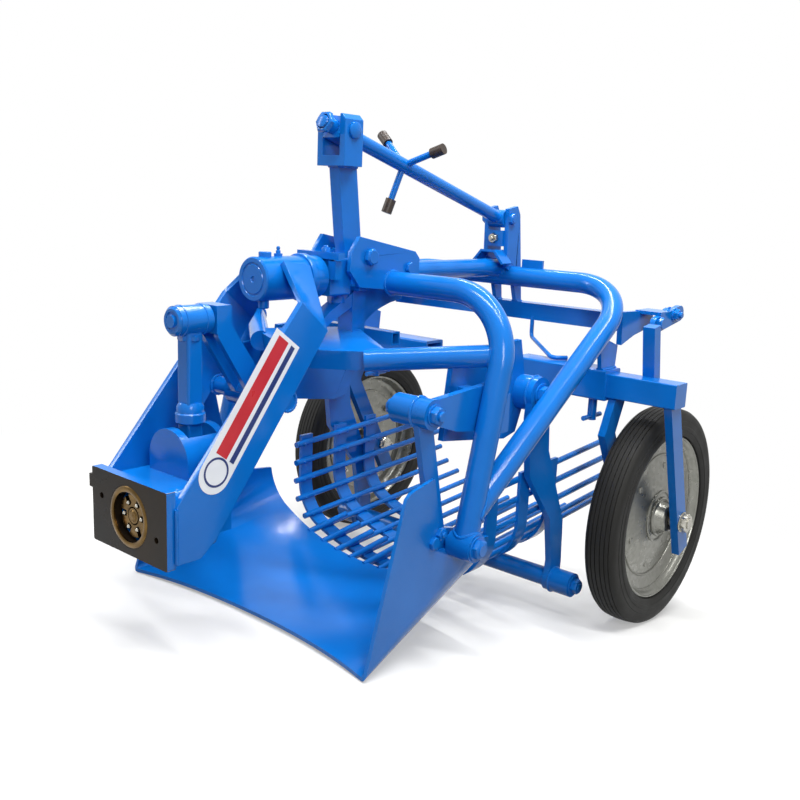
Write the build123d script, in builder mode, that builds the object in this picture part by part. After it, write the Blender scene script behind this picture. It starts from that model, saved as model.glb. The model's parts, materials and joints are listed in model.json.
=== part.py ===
"""Potato digger with an oscillating sieve, carried behind a two-wheeled tractor.

Drawn in its working attitude, level on its hitch: X to the machine's left, Y rearward from the wheel axle,
Z up from the bottom of the level wheels. Each piece is then seated as the digger parks: turned nose down
about the wheel axle until the share's tips touch the floor, with the origin under the middle of its length.
Sizes are in millimetres.
"""

from build123d import *
import math
import os

# Wheels
WHEEL_DIAMETER = 400
TYRE_WIDTH = 62
RIM_DIAMETER = 302
RIM_WALL = 5
HUB_DIAMETER = 58
HUB_LENGTH = 74
AXLE_DIAMETER = 20
AXLE_FIT = 0.05
TRACK_OFFSET = 72.5
AXLE_Z = WHEEL_DIAMETER / 2

# Wheel bars and the sleeves that they slide in
BAR_SIZE = 42
SLEEVE_SIZE = 54
SLEEVE_FIT = 0.3
BAR_Y, BAR_Z = -78, 442
SLEEVE_INNER_X, SLEEVE_OVERHANG = 105, 10
EAR_PLATE = 8
BAR_OVERHANG = 7
BAR_INNER_X = 150
FORK_BAR = 14
FORK_DEPTH = 34
FORK_GAP = 14
FORK_TAIL = 62
STRUT_SIZE = 22
STRUT_INSET = 13
STRUT_TOP_Z = 552

# Main frame tubes
ARCH_TUBE = 38
ARCH_BEND = 110
FRONT_ARCH_Y, FRONT_ARCH_Z = -389, 611
FRONT_FOOT_Y, FRONT_FOOT_Z = -480, 246
REAR_ARCH_Y, REAR_ARCH_Z = -10, 608
REAR_FOOT_Y, REAR_FOOT_Z = -474, 286
WELD_GAP = 0.2
FOOT_BOSS = 44
FOOT_BOSS_LENGTH = 42
FOOT_BOLT = 18

# Head plates, which stand on the middle of the front arch
HEAD_PLATE = 8
HEAD_HALF_GAP = 37
HEAD_PIN_Y, HEAD_PIN_Z = -446, 654
HEAD_PIN = 20
PIN_FIT = 0.3
HEAD_FRONT_Y, HEAD_REAR_Y = -490, -321
HEAD_TOP_Z, HEAD_REAR_TOP_Z, HEAD_BOTTOM_Z = 686, 661, 600

# Braces from the middle to the front arch's legs
BRACE_TUBE = 34
BRACE_LEG_Z = 524
BRACE_INNER_X, BRACE_INNER_Y, BRACE_INNER_Z = 118, -530, 506
GUSSET_PLATE, GUSSET_SKIRT = 6, 30
GUSSET_FRONT_Y, GUSSET_FRONT_Z = -572, 512
GUSSET_REAR_Y, GUSSET_REAR_Z = -424, 536
GUSSET_TIP_X, GUSSET_TIP_Y = 150, -512
POST_WIDTH, POST_DEPTH, POST_FOOT_Z = 32, 31, 520
WEB_PLATE = 8
SEAT_PLATE = 6
STAY_DEPTH = 14
FOOT_TUBE_DEPTH, FOOT_TUBE_HEIGHT, FOOT_TUBE_WALL, FOOT_TUBE_X = 20, 22, 3, 77

# Spine and the lugs that hold the screw's rear end
SPINE_TUBE = 34
SPINE_Z = 624
SPINE_PLATE, SPINE_PLATE_HEIGHT = 8, 40
LUG_THICKNESS, LUG_WIDTH, LUG_HALF_GAP = 9, 40, 19
LUG_PIN_Y, LUG_PIN_Z = -27, 717
LUG_TOP_Z = 742
CROSS_BAR_Y, CROSS_BAR_Z = 22, 541
CROSS_BAR_DEPTH, CROSS_BAR_HEIGHT, CROSS_BAR_WALL = 30, 32, 4
SADDLE_LENGTH, SADDLE_TOP_Z, SADDLE_PLATE = 32, 656, 5
SADDLE_TOP_WIDTH, SADDLE_WIDTH = 30, 72
HOOK_ROD = 8
HOOK_X, HOOK_Z, HOOK_BEND = 68, 492, 12
HOOK_END_X, HOOK_END_Y = 174, -84
TAB_X, TAB_WIDTH, TAB_HEIGHT, TAB_PLATE = 72, 46, 34, 6

# Rear brackets
BRACKET_PLATE = 10
BRACKET_ARM_OFFSET = 40
BRACKET_TOP_Z = 574

# Hanger plates for the sieve's links and the share's struts
HANGER_PLATE = 10
HANGER_TOP_Z = 522
ARM_PLATE = 12
SIEVE_PIVOT_Y, SIEVE_PIVOT_Z = -226, 434
STRUT_PIVOT_Y, STRUT_PIVOT_Z = -550, 452
PIVOT_BUSH = 44
PIVOT_BOLT = 18

# Share
SHARE_HALF_WIDTH, SHARE_REAR_HALF_WIDTH = 275, 262
SHARE_PLATE = 6
SHARE_TIP_Y, SHARE_TIP_Z = -679, 91
SHARE_REAR_Y, SHARE_REAR_Z = -380, 100
SHARE_FRONT_CORNER, SHARE_REAR_CORNER = 10, 100
SHARE_FRONT_CROWN, SHARE_REAR_CROWN = 40000, 430
FINGER_DIAMETER, FINGER_LENGTH = 11, 95
FINGER_SINK = 6
FINGER_RISE = math.radians(7)
FINGER_PITCH, FINGERS_A_SIDE, SIDE_FINGER_AT = 36, 4, 300
SHARE_RECESS = 34

# Sieve
ROD_DIAMETER = 11
ROD_COUNT, ROD_PITCH = 20, 36
SIEVE_FRONT_Y, SIEVE_REAR_Y = -352, 96
SIEVE_FRONT_Z = 90
SIEVE_RISE = math.radians(3.6)
SIEVE_SIDE_GAP = 16
SIEVE_CROWN, SIEVE_CORNER = 430, 80
SIEVE_SIDE_RISE = 198
CARRIER_DEPTH, CARRIER_THICKNESS = 30, 6
CARRIER_SINK = 3
SIEVE_TUBE = 34
LOWER_PIVOT_Y = -136
CARRIER_STATIONS = (-320, -225, LOWER_PIVOT_Y)
LINK_SIDE_GAP = 12
LINK_THICKNESS = 12
SIEVE_BUSH_LENGTH = 27

# Hitch: flange, gear housing and the two side plates
FLANGE_WIDTH, FLANGE_HEIGHT, FLANGE_THICKNESS = 175, 109, 14
FLANGE_FACE_Y, HITCH_Z = -866, 307
FLANGE_BORE = 72
HOUSING_WIDTH, HOUSING_HEIGHT, HOUSING_REAR_Y = 150, 96, -772
CRANKCASE_TOP_Z = 420
HITCH_PLATE = 10
HITCH_PLATE_X = 80
SWIVEL_TUBE = 66
SWIVEL_BORE = 40
SWIVEL_Z = 622
SWIVEL_FRONT_Y, SWIVEL_REAR_Y = -647, -524
SWIVEL_PIN_FIT = 0.3

# Swivel block and mast
BLOCK_WIDTH, BLOCK_HEIGHT = 58, 58
BLOCK_REAR_Y = -468
MAST_WIDTH, MAST_DEPTH = 22, 40
MAST_LOW_Y, MAST_TOP_Y = -452, -466
CLEVIS_WIDTH, CLEVIS_DEPTH, CLEVIS_BOTTOM_Z, CLEVIS_TOP_Z = 60, 40, 792, 870
CLEVIS_CHEEK = 12
CLEVIS_CHAMFER, CLEVIS_SLOT_Z = 8, 808
SCREW_PIN_Y, SCREW_PIN_Z = -474, 846

# Adjusting screw
SCREW_DIAMETER = 24
SCREW_HANDLE_AT = 160
HANDLE_ARM, HANDLE_ROD, GRIP_DIAMETER, GRIP_LENGTH = 84, 11, 18, 24

# Crank drive
COUPLING_DIAMETER = 60
CONROD_SIZE = 26
CONROD_HEAD_Y, CONROD_HEAD_Z = -762, 570
CONROD_HEAD, CONROD_HEAD_LENGTH = 42, 54
CONROD_FOOT_Z = 400
ROCKER_SHAFT_Y, ROCKER_SHAFT_Z = -648, 452
ROCKER_SHAFT = 28
ROCKER_BAR = 10
ROCKER_WIDTH = 30

STRUT_PLATE = 10
SIEVE_BUSH = 60
BUSH_GAP = 0.3
LOWER_BUSH_LENGTH = 41
DOWEL_HOLE = 9
DOWEL_CIRCLE, DOWEL_ANGLE = 132, 166
CRANKCASE_WIDTH = 90
CRANKCASE_FRONT_Y, CRANKCASE_REAR_Y = -800, -724
CRANK_SLOT_WIDTH, CRANK_SLOT_LENGTH, CRANK_SLOT_DEPTH = 56, 50, 52
COUPLING_REAR_Y = -826
COUPLING_SHAFT = 26
COUPLING_BORE = 26
COUPLING_SLOTS, COUPLING_SLOT_DEPTH = 6, 14
BEND_FRONT_Y, BEND_FRONT_Z = -634, 595
BEND_REAR_Y, BEND_REAR_Z = -581, 551
COLLAR_Y, COLLAR_LENGTH = -592, 51
REGISTER_GROOVE, REGISTER_GROOVE_WIDTH, REGISTER_DEPTH = 88, 5, 4
SWIVEL_PIN = 40
SWIVEL_DISC = 8
SCREW_STUB = 34
TRUNNION, TRUNNION_PIN = 34, 16
LUG_EYE, LUG_PIN, EYE_FIT, EYE_SIDE_GAP = 34, 12, 1.5, 1
HANDLE_ANGLES = (-20, -140, -260)
ROCKER_BLOCK = 26
ROCKER_BAR_X = 12
ROCKER_HUB, ROCKER_HUB_LENGTH = 44, 80
CONROD_PIN = 18
CLAMP_X, CLAMP_SCREW, CLAMP_LENGTH = 262, 16, 48
SHARE_WALL_TOP_Z = 356

# Parking attitude, worked out from the share's tips and the wheels
tip_reach = math.hypot(SHARE_TIP_Y, SHARE_TIP_Z - AXLE_Z)
tip_below = math.asin((AXLE_Z - SHARE_TIP_Z) / tip_reach)
PARK_PITCH = math.degrees(math.asin(AXLE_Z / tip_reach) - tip_below)
flange_top = HITCH_Z + FLANGE_HEIGHT / 2 - AXLE_Z
front_reach = FLANGE_FACE_Y * math.cos(math.radians(PARK_PITCH)) - flange_top * math.sin(math.radians(PARK_PITCH))
MIDDLE_Y = (AXLE_Z + front_reach) / 2

os.makedirs("parts", exist_ok=True)
AXLE_LINE = Axis((0, 0, AXLE_Z), (1, 0, 0))


def write(part, name):
    """Seats a piece in the parked attitude and writes it under its name."""
    seated = part.rotate(AXLE_LINE, PARK_PITCH).translate((0, -MIDDLE_Y, 0))
    seated.label = name
    export_step(seated, f"parts/{name}.step")


def write_pair(left, name):
    """Writes a left piece and its mirror image on the right."""
    write(left, f"{name}_left")
    write(mirror(left, about=Plane.YZ), f"{name}_right")


def bar_between(start, end, diameter):
    """A round bar from one point to another."""
    path = Line(start, end)
    with BuildPart() as bar:
        with BuildSketch(Plane(origin=start, z_dir=path % 0)):
            Circle(diameter / 2)
        extrude(amount=path.length)
    return bar.part


def bent_tube(points, bend, diameter):
    """A round tube along straight runs joined by bends of one radius."""
    with BuildPart() as tube:
        with BuildLine() as route:
            FilletPolyline(*points, radius=bend)
        with BuildSketch(Plane(origin=route.line @ 0, z_dir=route.line % 0)):
            Circle(diameter / 2)
        sweep()
    return tube.part


def side_plate(points, x_low, x_high):
    """A plate in a lengthwise upright plane, from its outline in Y and Z."""
    with BuildPart() as plate:
        with BuildSketch(Plane.YZ.offset(x_low)):
            with BuildLine():
                Polyline(*points, close=True)
            make_face()
        extrude(amount=x_high - x_low)
    return plate.part


def cross_pin(y, z, diameter, x_low, x_high):
    """A round pin or bush that lies crosswise."""
    return bar_between((x_low, y, z), (x_high, y, z), diameter)


# Widths that follow one another outward from the share's walls
wall_taper = (SHARE_HALF_WIDTH - SHARE_REAR_HALF_WIDTH) / (SHARE_REAR_Y - SHARE_TIP_Y)


def share_side(y):
    """Half the share's width over its walls at a station along it."""
    return SHARE_HALF_WIDTH - (y - SHARE_TIP_Y) * wall_taper


foot_inner_x = share_side(FRONT_FOOT_Y - FOOT_BOSS / 2)
foot_outer_x = foot_inner_x + FOOT_BOSS_LENGTH
arch_half = foot_inner_x + ARCH_TUBE / 2 + WELD_GAP
arch_inner_x = arch_half - ARCH_TUBE / 2
sleeve_outer_x = arch_half + SLEEVE_OVERHANG
bracket_arm_x = arch_half + BRACKET_ARM_OFFSET
half_track = arch_half + TRACK_OFFSET
link_x = SHARE_REAR_HALF_WIDTH - SHARE_PLATE - LINK_SIDE_GAP - LINK_THICKNESS
link_outer_x = link_x + LINK_THICKNESS
hanger_outer_x = link_x - SIEVE_BUSH_LENGTH
hanger_x = hanger_outer_x - HANGER_PLATE
sieve_half = link_x - SIEVE_SIDE_GAP
strut_outer_x = SHARE_REAR_HALF_WIDTH - SHARE_PLATE
strut_inner_x = strut_outer_x - STRUT_PLATE
head_outer_x = HEAD_HALF_GAP + HEAD_PLATE

# Front arch: one half, from the head plate out, down the leg and into its foot boss
front_points = [
    (head_outer_x, FRONT_ARCH_Y, FRONT_ARCH_Z),
    (arch_half, FRONT_ARCH_Y, FRONT_ARCH_Z),
    (arch_half, FRONT_FOOT_Y, FRONT_FOOT_Z),
]
with BuildPart() as front_arch:
    add(bent_tube(front_points, ARCH_BEND, ARCH_TUBE))
    add(cross_pin(FRONT_FOOT_Y, FRONT_FOOT_Z, FOOT_BOSS, foot_inner_x, foot_outer_x))
    add(cross_pin(FRONT_FOOT_Y, FRONT_FOOT_Z, FOOT_BOLT, foot_inner_x, foot_outer_x), mode=Mode.SUBTRACT)

# Rear arch: one tube from foot to foot, cut to the front legs where it meets them, with a small tab on top
rear_points = [
    (-arch_half, REAR_FOOT_Y, REAR_FOOT_Z),
    (-arch_half, REAR_ARCH_Y, REAR_ARCH_Z),
    (arch_half, REAR_ARCH_Y, REAR_ARCH_Z),
    (arch_half, REAR_FOOT_Y, REAR_FOOT_Z),
]
with BuildPart() as rear_arch:
    add(bent_tube(rear_points, ARCH_BEND, ARCH_TUBE))
    for x in (arch_half, -arch_half):
        leg = ((x, FRONT_ARCH_Y, FRONT_ARCH_Z), (x, FRONT_FOOT_Y, FRONT_FOOT_Z))
        add(bar_between(*leg, ARCH_TUBE + 2 * WELD_GAP), mode=Mode.SUBTRACT)
rear_tube = rear_arch.part.solids().sort_by(SortBy.VOLUME)[-1]
with BuildPart() as tabbed_arch:
    add(rear_tube)
    with BuildSketch(Plane.XY.offset(REAR_ARCH_Z)):
        with Locations((TAB_X, REAR_ARCH_Y)):
            Rectangle(TAB_WIDTH, TAB_PLATE)
    extrude(amount=TAB_HEIGHT)

# Head plates, with the pin that the swivel block tilts on
head_outline = [
    (HEAD_FRONT_Y, HEAD_BOTTOM_Z + 32),
    (HEAD_FRONT_Y + 2, HEAD_REAR_TOP_Z),
    (HEAD_FRONT_Y + 21, HEAD_TOP_Z),
    (HEAD_REAR_Y - 11, HEAD_REAR_TOP_Z),
    (HEAD_REAR_Y, HEAD_REAR_TOP_Z - 11),
    (HEAD_REAR_Y, HEAD_BOTTOM_Z),
    (FRONT_ARCH_Y - 11, HEAD_BOTTOM_Z),
    (HEAD_PIN_Y - 20, HEAD_BOTTOM_Z + 6),
]
with BuildPart() as head_plate:
    add(side_plate(head_outline, HEAD_HALF_GAP, head_outer_x))
    add(cross_pin(HEAD_PIN_Y, HEAD_PIN_Z, HEAD_PIN, HEAD_HALF_GAP, head_outer_x), mode=Mode.SUBTRACT)

head_pin = cross_pin(HEAD_PIN_Y, HEAD_PIN_Z, HEAD_PIN, -head_outer_x - 10, head_outer_x + 10)

# Spine tube, from a plate between the head plates back to the rear arch
spine_front_y = FRONT_ARCH_Y + ARCH_TUBE / 2
with BuildPart() as spine:
    with BuildSketch(Plane.XZ.offset(-spine_front_y)):
        with Locations((0, SPINE_Z)):
            Rectangle(2 * HEAD_HALF_GAP, SPINE_PLATE_HEIGHT)
    extrude(amount=-SPINE_PLATE)
    add(bar_between((0, spine_front_y, SPINE_Z), (0, REAR_ARCH_Y, SPINE_Z), SPINE_TUBE))
    add(rear_tube, mode=Mode.SUBTRACT)
spine_part = spine.part.solids().sort_by(SortBy.VOLUME)[-1]

# Middle post, the stay in front of it and the web behind it, which carry a folded gusset and the two braces
post_rear_y = GUSSET_REAR_Y + 3
post_front_y = post_rear_y - POST_DEPTH
post_outline = [
    (post_front_y, HEAD_BOTTOM_Z),
    (post_rear_y, HEAD_BOTTOM_Z),
    (post_rear_y, POST_FOOT_Z),
    (post_front_y, POST_FOOT_Z),
]
seat_outline = [
    (post_front_y - 8, HEAD_BOTTOM_Z),
    (post_front_y - 8, HEAD_BOTTOM_Z + SEAT_PLATE),
    (FRONT_ARCH_Y, HEAD_BOTTOM_Z + SEAT_PLATE),
    (FRONT_ARCH_Y, HEAD_BOTTOM_Z),
]
stay_outline = [
    (post_front_y + 12, HEAD_BOTTOM_Z),
    ((post_front_y + GUSSET_FRONT_Y) / 2 + 6, (HEAD_BOTTOM_Z + GUSSET_FRONT_Z) / 2 + 8),
    (GUSSET_FRONT_Y + 2, GUSSET_FRONT_Z - 4),
    (GUSSET_FRONT_Y + 4 + STAY_DEPTH, GUSSET_FRONT_Z - 4),
    ((post_front_y + GUSSET_FRONT_Y) / 2 + 14, (HEAD_BOTTOM_Z + GUSSET_FRONT_Z) / 2 - 6),
    (post_rear_y, HEAD_BOTTOM_Z - STAY_DEPTH),
    (post_rear_y, HEAD_BOTTOM_Z),
]
gusset_run = Vector(0, GUSSET_REAR_Y - GUSSET_FRONT_Y, GUSSET_REAR_Z - GUSSET_FRONT_Z)
gusset_plane = Plane(
    origin=(0, GUSSET_FRONT_Y, GUSSET_FRONT_Z), x_dir=(1, 0, 0), z_dir=Vector(1, 0, 0).cross(gusset_run),
)
gusset_tip = gusset_run.length * (GUSSET_TIP_Y - GUSSET_FRONT_Y) / (GUSSET_REAR_Y - GUSSET_FRONT_Y)
brace_start = (BRACE_INNER_X, BRACE_INNER_Y, BRACE_INNER_Z)
brace_end = (arch_half, FRONT_ARCH_Y - 6, BRACE_LEG_Z)
with BuildPart() as brace_frame:
    add(side_plate(post_outline, -POST_WIDTH / 2, POST_WIDTH / 2))
    add(side_plate(stay_outline, -POST_WIDTH / 2 + 1, POST_WIDTH / 2 - 1))
    add(side_plate(seat_outline, -HEAD_HALF_GAP, HEAD_HALF_GAP))
    with BuildSketch(Plane.YZ.offset(-WEB_PLATE / 2)):
        with BuildLine():
            Polyline(
                (post_rear_y + 5, POST_FOOT_Z + 18),
                (post_rear_y - 4, POST_FOOT_Z + 18),
                (post_rear_y - 4, SPINE_Z),
                (HEAD_REAR_Y + 35, SPINE_Z),
                (HEAD_REAR_Y + 5, SPINE_Z - SPINE_TUBE / 2 - 30),
            )
            ThreePointArc(
                (HEAD_REAR_Y + 5, SPINE_Z - SPINE_TUBE / 2 - 30),
                (FRONT_ARCH_Y + 27, POST_FOOT_Z + 47),
                (post_rear_y + 5, POST_FOOT_Z + 18),
            )
        make_face()
    extrude(amount=WEB_PLATE)
    with BuildSketch(gusset_plane):
        with BuildLine():
            Polyline(
                (0, 0), (GUSSET_TIP_X, gusset_tip), (0, gusset_run.length), (-GUSSET_TIP_X, gusset_tip), close=True,
            )
        make_face()
    extrude(amount=-GUSSET_PLATE)
    with BuildSketch(gusset_plane):
        with BuildLine():
            Polyline((-GUSSET_TIP_X, gusset_tip), (0, 0), (GUSSET_TIP_X, gusset_tip))
        trace(line_width=GUSSET_PLATE)
    extrude(amount=-GUSSET_SKIRT)
    add(bar_between(brace_start, brace_end, BRACE_TUBE))
    add(bar_between((-brace_start[0], *brace_start[1:]), (-brace_end[0], *brace_end[1:]), BRACE_TUBE))
    with BuildSketch(Plane.YZ.offset(-FOOT_TUBE_X)):
        with Locations((post_rear_y + FOOT_TUBE_DEPTH / 2 - 1, POST_FOOT_Z + 4)):
            Rectangle(FOOT_TUBE_DEPTH, FOOT_TUBE_HEIGHT)
            Rectangle(
                FOOT_TUBE_DEPTH - 2 * FOOT_TUBE_WALL, FOOT_TUBE_HEIGHT - 2 * FOOT_TUBE_WALL, mode=Mode.SUBTRACT,
            )
    extrude(amount=2 * FOOT_TUBE_X)
    add(front_arch.part, mode=Mode.SUBTRACT)
    add(mirror(front_arch.part, about=Plane.YZ), mode=Mode.SUBTRACT)
    add(spine_part, mode=Mode.SUBTRACT)
brace_part = brace_frame.part.solids().sort_by(SortBy.VOLUME)[-1]

# Cross bar behind the rear arch, an angle iron with a bent hook rod, and the lugs that stand on it
cross_bar_top_z = CROSS_BAR_Z + CROSS_BAR_HEIGHT / 2
hook_y = CROSS_BAR_Y - CROSS_BAR_DEPTH / 2 + CROSS_BAR_WALL / 2
hook_end_z = BAR_Z + SLEEVE_SIZE / 2 + HOOK_ROD / 2 + BUSH_GAP
hook_route = [
    (HOOK_X, hook_y, CROSS_BAR_Z - 8),
    (HOOK_X, hook_y, HOOK_Z),
    (HOOK_END_X, HOOK_END_Y, hook_end_z),
    (HOOK_END_X + 18, HOOK_END_Y + 24, hook_end_z),
]
with BuildPart() as cross_bar:
    with BuildSketch(Plane.YZ.offset(-arch_half)):
        with Locations((CROSS_BAR_Y, CROSS_BAR_Z)):
            Rectangle(CROSS_BAR_DEPTH, CROSS_BAR_HEIGHT)
            with Locations((CROSS_BAR_WALL, -CROSS_BAR_WALL)):
                Rectangle(CROSS_BAR_DEPTH, CROSS_BAR_HEIGHT, mode=Mode.SUBTRACT)
    extrude(amount=2 * arch_half)
    add(bent_tube(hook_route, HOOK_BEND, HOOK_ROD))

lug_outline = [
    (CROSS_BAR_Y - CROSS_BAR_DEPTH / 2, cross_bar_top_z),
    (CROSS_BAR_Y + 4, cross_bar_top_z),
    (LUG_PIN_Y + 3 * LUG_WIDTH / 4, LUG_TOP_Z - 16),
    (LUG_PIN_Y + LUG_WIDTH / 2, LUG_TOP_Z),
    (LUG_PIN_Y - LUG_WIDTH / 4, LUG_TOP_Z - 6),
    (REAR_ARCH_Y - LUG_WIDTH / 2 - 4, REAR_ARCH_Z + 16),
    (REAR_ARCH_Y, REAR_ARCH_Z),
]
saddle_rear_y = REAR_ARCH_Y - LUG_WIDTH / 2
saddle_low_z = SPINE_Z + SPINE_TUBE / 2 - 9
lug_outer_x = LUG_HALF_GAP + LUG_THICKNESS
with BuildPart() as screw_lugs:
    for low in (LUG_HALF_GAP, -lug_outer_x):
        add(side_plate(lug_outline, low, low + LUG_THICKNESS))
    add(cross_pin(LUG_PIN_Y, LUG_PIN_Z, LUG_PIN, -lug_outer_x, lug_outer_x), mode=Mode.SUBTRACT)
    with BuildSketch(Plane.XZ.offset(-saddle_rear_y)):
        with BuildLine():
            Polyline(
                (-SADDLE_WIDTH / 2, saddle_low_z),
                (-SADDLE_TOP_WIDTH / 2, SADDLE_TOP_Z),
                (SADDLE_TOP_WIDTH / 2, SADDLE_TOP_Z),
                (SADDLE_WIDTH / 2, saddle_low_z),
            )
        trace(line_width=SADDLE_PLATE)
    extrude(amount=SADDLE_LENGTH)
    add(rear_tube, mode=Mode.SUBTRACT)
    add(spine_part, mode=Mode.SUBTRACT)

# Rear bracket and sleeve of one side
bracket_outline = [
    (BAR_Y + 17, BRACKET_TOP_Z - 5),
    (56, BRACKET_TOP_Z - 9),
    (62, BRACKET_TOP_Z - 37),
    (BAR_Y + 66, BRACKET_TOP_Z - 50),
    (BAR_Y + 21, BRACKET_TOP_Z - 64),
]
bracket_inner_x = arch_half + WELD_GAP
with BuildPart() as rear_bracket:
    add(side_plate(bracket_outline, bracket_inner_x, bracket_inner_x + BRACKET_PLATE))
    with BuildSketch(Plane.XY.offset(BRACKET_TOP_Z - 12)):
        with Locations(((bracket_inner_x + bracket_arm_x + BRACKET_PLATE) / 2, 30)):
            Rectangle(bracket_arm_x + BRACKET_PLATE - bracket_inner_x, 50)
    extrude(amount=6)
    with BuildSketch(Plane.YZ.offset(bracket_arm_x)):
        with Locations((42, BRACKET_TOP_Z - 20)):
            SlotOverall(118, 28, rotation=10)
        with Locations((70, BRACKET_TOP_Z - 14)):
            SlotOverall(34, 10, rotation=10, mode=Mode.SUBTRACT)
    extrude(amount=BRACKET_PLATE)
    add(rear_tube, mode=Mode.SUBTRACT)
bracket_part = rear_bracket.part.solids().sort_by(SortBy.VOLUME)[-1]

sleeve_inside = BAR_SIZE + 2 * SLEEVE_FIT
ear_outline = [
    (BAR_Y - 37, BAR_Z + 88),
    (BAR_Y + 28, BAR_Z + 66),
    (BAR_Y + 24, BAR_Z + SLEEVE_SIZE / 2 - 1),
    (BAR_Y - 24, BAR_Z + SLEEVE_SIZE / 2 - 1),
]
ear_inner_x = arch_half - EAR_PLATE
with BuildPart() as sleeve:
    with BuildSketch(Plane.YZ.offset(SLEEVE_INNER_X)):
        with Locations((BAR_Y, BAR_Z)):
            RectangleRounded(SLEEVE_SIZE, SLEEVE_SIZE, 4)
            Rectangle(sleeve_inside, sleeve_inside, mode=Mode.SUBTRACT)
    extrude(amount=sleeve_outer_x - SLEEVE_INNER_X)
    add(side_plate(ear_outline, ear_inner_x, ear_inner_x + EAR_PLATE))
    add(rear_tube, mode=Mode.SUBTRACT)
sleeve_part = sleeve.part.solids().sort_by(SortBy.VOLUME)[-1]

# Hanger plate with the sieve's upper pivot, joined to the front leg by a cross tab
hanger_outline = [
    (FRONT_ARCH_Y - 32, HANGER_TOP_Z - 6),
    (SIEVE_PIVOT_Y - 10, HANGER_TOP_Z + 2),
    (SIEVE_PIVOT_Y, HANGER_TOP_Z - 34),
    (SIEVE_PIVOT_Y + 6, SIEVE_PIVOT_Z + 31),
    (SIEVE_PIVOT_Y + 24, SIEVE_PIVOT_Z + 12),
    (SIEVE_PIVOT_Y + 24, SIEVE_PIVOT_Z - 14),
    (SIEVE_PIVOT_Y + 4, SIEVE_PIVOT_Z - 32),
    (SIEVE_PIVOT_Y - 12, SIEVE_PIVOT_Z - 69),
    (SIEVE_PIVOT_Y - 45, SIEVE_PIVOT_Z - 76),
    (FRONT_ARCH_Y - 51, SIEVE_PIVOT_Z - 52),
]
with BuildPart() as hanger:
    add(side_plate(hanger_outline, hanger_x, hanger_outer_x))
    with BuildSketch(Plane.XY.offset(SIEVE_PIVOT_Z - 30)):
        with Locations(((hanger_outer_x + arch_half) / 2, FRONT_ARCH_Y - 6)):
            Rectangle(arch_half - hanger_outer_x, 24)
    extrude(amount=60)
    add(front_arch.part, mode=Mode.SUBTRACT)
    add(cross_pin(SIEVE_PIVOT_Y, SIEVE_PIVOT_Z, PIVOT_BOLT, hanger_x, hanger_outer_x), mode=Mode.SUBTRACT)
hanger_part = hanger.part.solids().sort_by(SortBy.VOLUME)[-1]

# Arm that carries the share strut's pivot in front of the leg
arm_inner_x = strut_outer_x + BUSH_GAP
arm_outline = [
    (STRUT_PIVOT_Y - 16, STRUT_PIVOT_Z + 12),
    (STRUT_PIVOT_Y + 10, STRUT_PIVOT_Z + 20),
    (FRONT_ARCH_Y - 20, STRUT_PIVOT_Z + 28),
    (FRONT_ARCH_Y - 20, STRUT_PIVOT_Z - 46),
    (STRUT_PIVOT_Y + 60, STRUT_PIVOT_Z - 34),
    (STRUT_PIVOT_Y + 12, STRUT_PIVOT_Z - 18),
    (STRUT_PIVOT_Y - 16, STRUT_PIVOT_Z - 12),
]
with BuildPart() as strut_arm:
    add(side_plate(arm_outline, arm_inner_x, arm_inner_x + ARM_PLATE))
    add(cross_pin(STRUT_PIVOT_Y, STRUT_PIVOT_Z, PIVOT_BUSH, arm_inner_x, arm_inner_x + ARM_PLATE + 4))
    add(front_arch.part, mode=Mode.SUBTRACT)
arm_part = strut_arm.part.solids().sort_by(SortBy.VOLUME)[-1]


# Share: a trough with a flat front edge, crowned and rounded where it meets the sieve
def crown_points(half, crown, radius):
    """Where a crowned bottom meets its corner: X, height over its middle, and the corner's centre X."""
    reach = crown - radius
    centre_x = half - radius
    lean = math.asin(centre_x / reach)
    return crown * math.sin(lean), crown * (1 - math.cos(lean)), centre_x, crown - reach * math.cos(lean)


def trough_side(half, low, crown, radius, top):
    """Draws one surface of a trough's section, from its left top edge to its right one."""
    x, rise, _, centre_rise = crown_points(half, crown, radius)
    Line((-half, top), (-half, low + centre_rise))
    RadiusArc((-half, low + centre_rise), (-x, low + rise), -radius)
    ThreePointArc((-x, low + rise), (0, low), (x, low + rise))
    RadiusArc((x, low + rise), (half, low + centre_rise), -radius)
    Line((half, low + centre_rise), (half, top))


def trough_section(half, low, crown, radius, wall, top, y):
    """A trough's section in a crosswise plane."""
    with BuildSketch(Plane.XZ.offset(-y)) as section:
        with BuildLine():
            trough_side(half, low, crown, radius, top)
            trough_side(half - wall, low + wall, crown - wall, radius - wall, top)
            Line((-half, top), (wall - half, top))
            Line((half, top), (half - wall, top))
        make_face()
    return section.sketch


def crown_place(along, half, crown, radius):
    """X and height over the middle at a distance along a crowned section from its middle."""
    x, rise, centre_x, centre_rise = crown_points(half, crown, radius)
    crown_turn = math.asin(x / crown)
    turn = min(abs(along) / crown, crown_turn)
    place_x, height = crown * math.sin(turn), crown * (1 - math.cos(turn))
    beyond = abs(along) - crown * crown_turn
    if beyond > 0:
        corner_turn = min(crown_turn + beyond / radius, math.pi / 2)
        place_x = centre_x + radius * math.sin(corner_turn)
        height = centre_rise - radius * math.cos(corner_turn)
        height += max(beyond - radius * (math.pi / 2 - crown_turn), 0)
    return math.copysign(place_x, along), height


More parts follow.
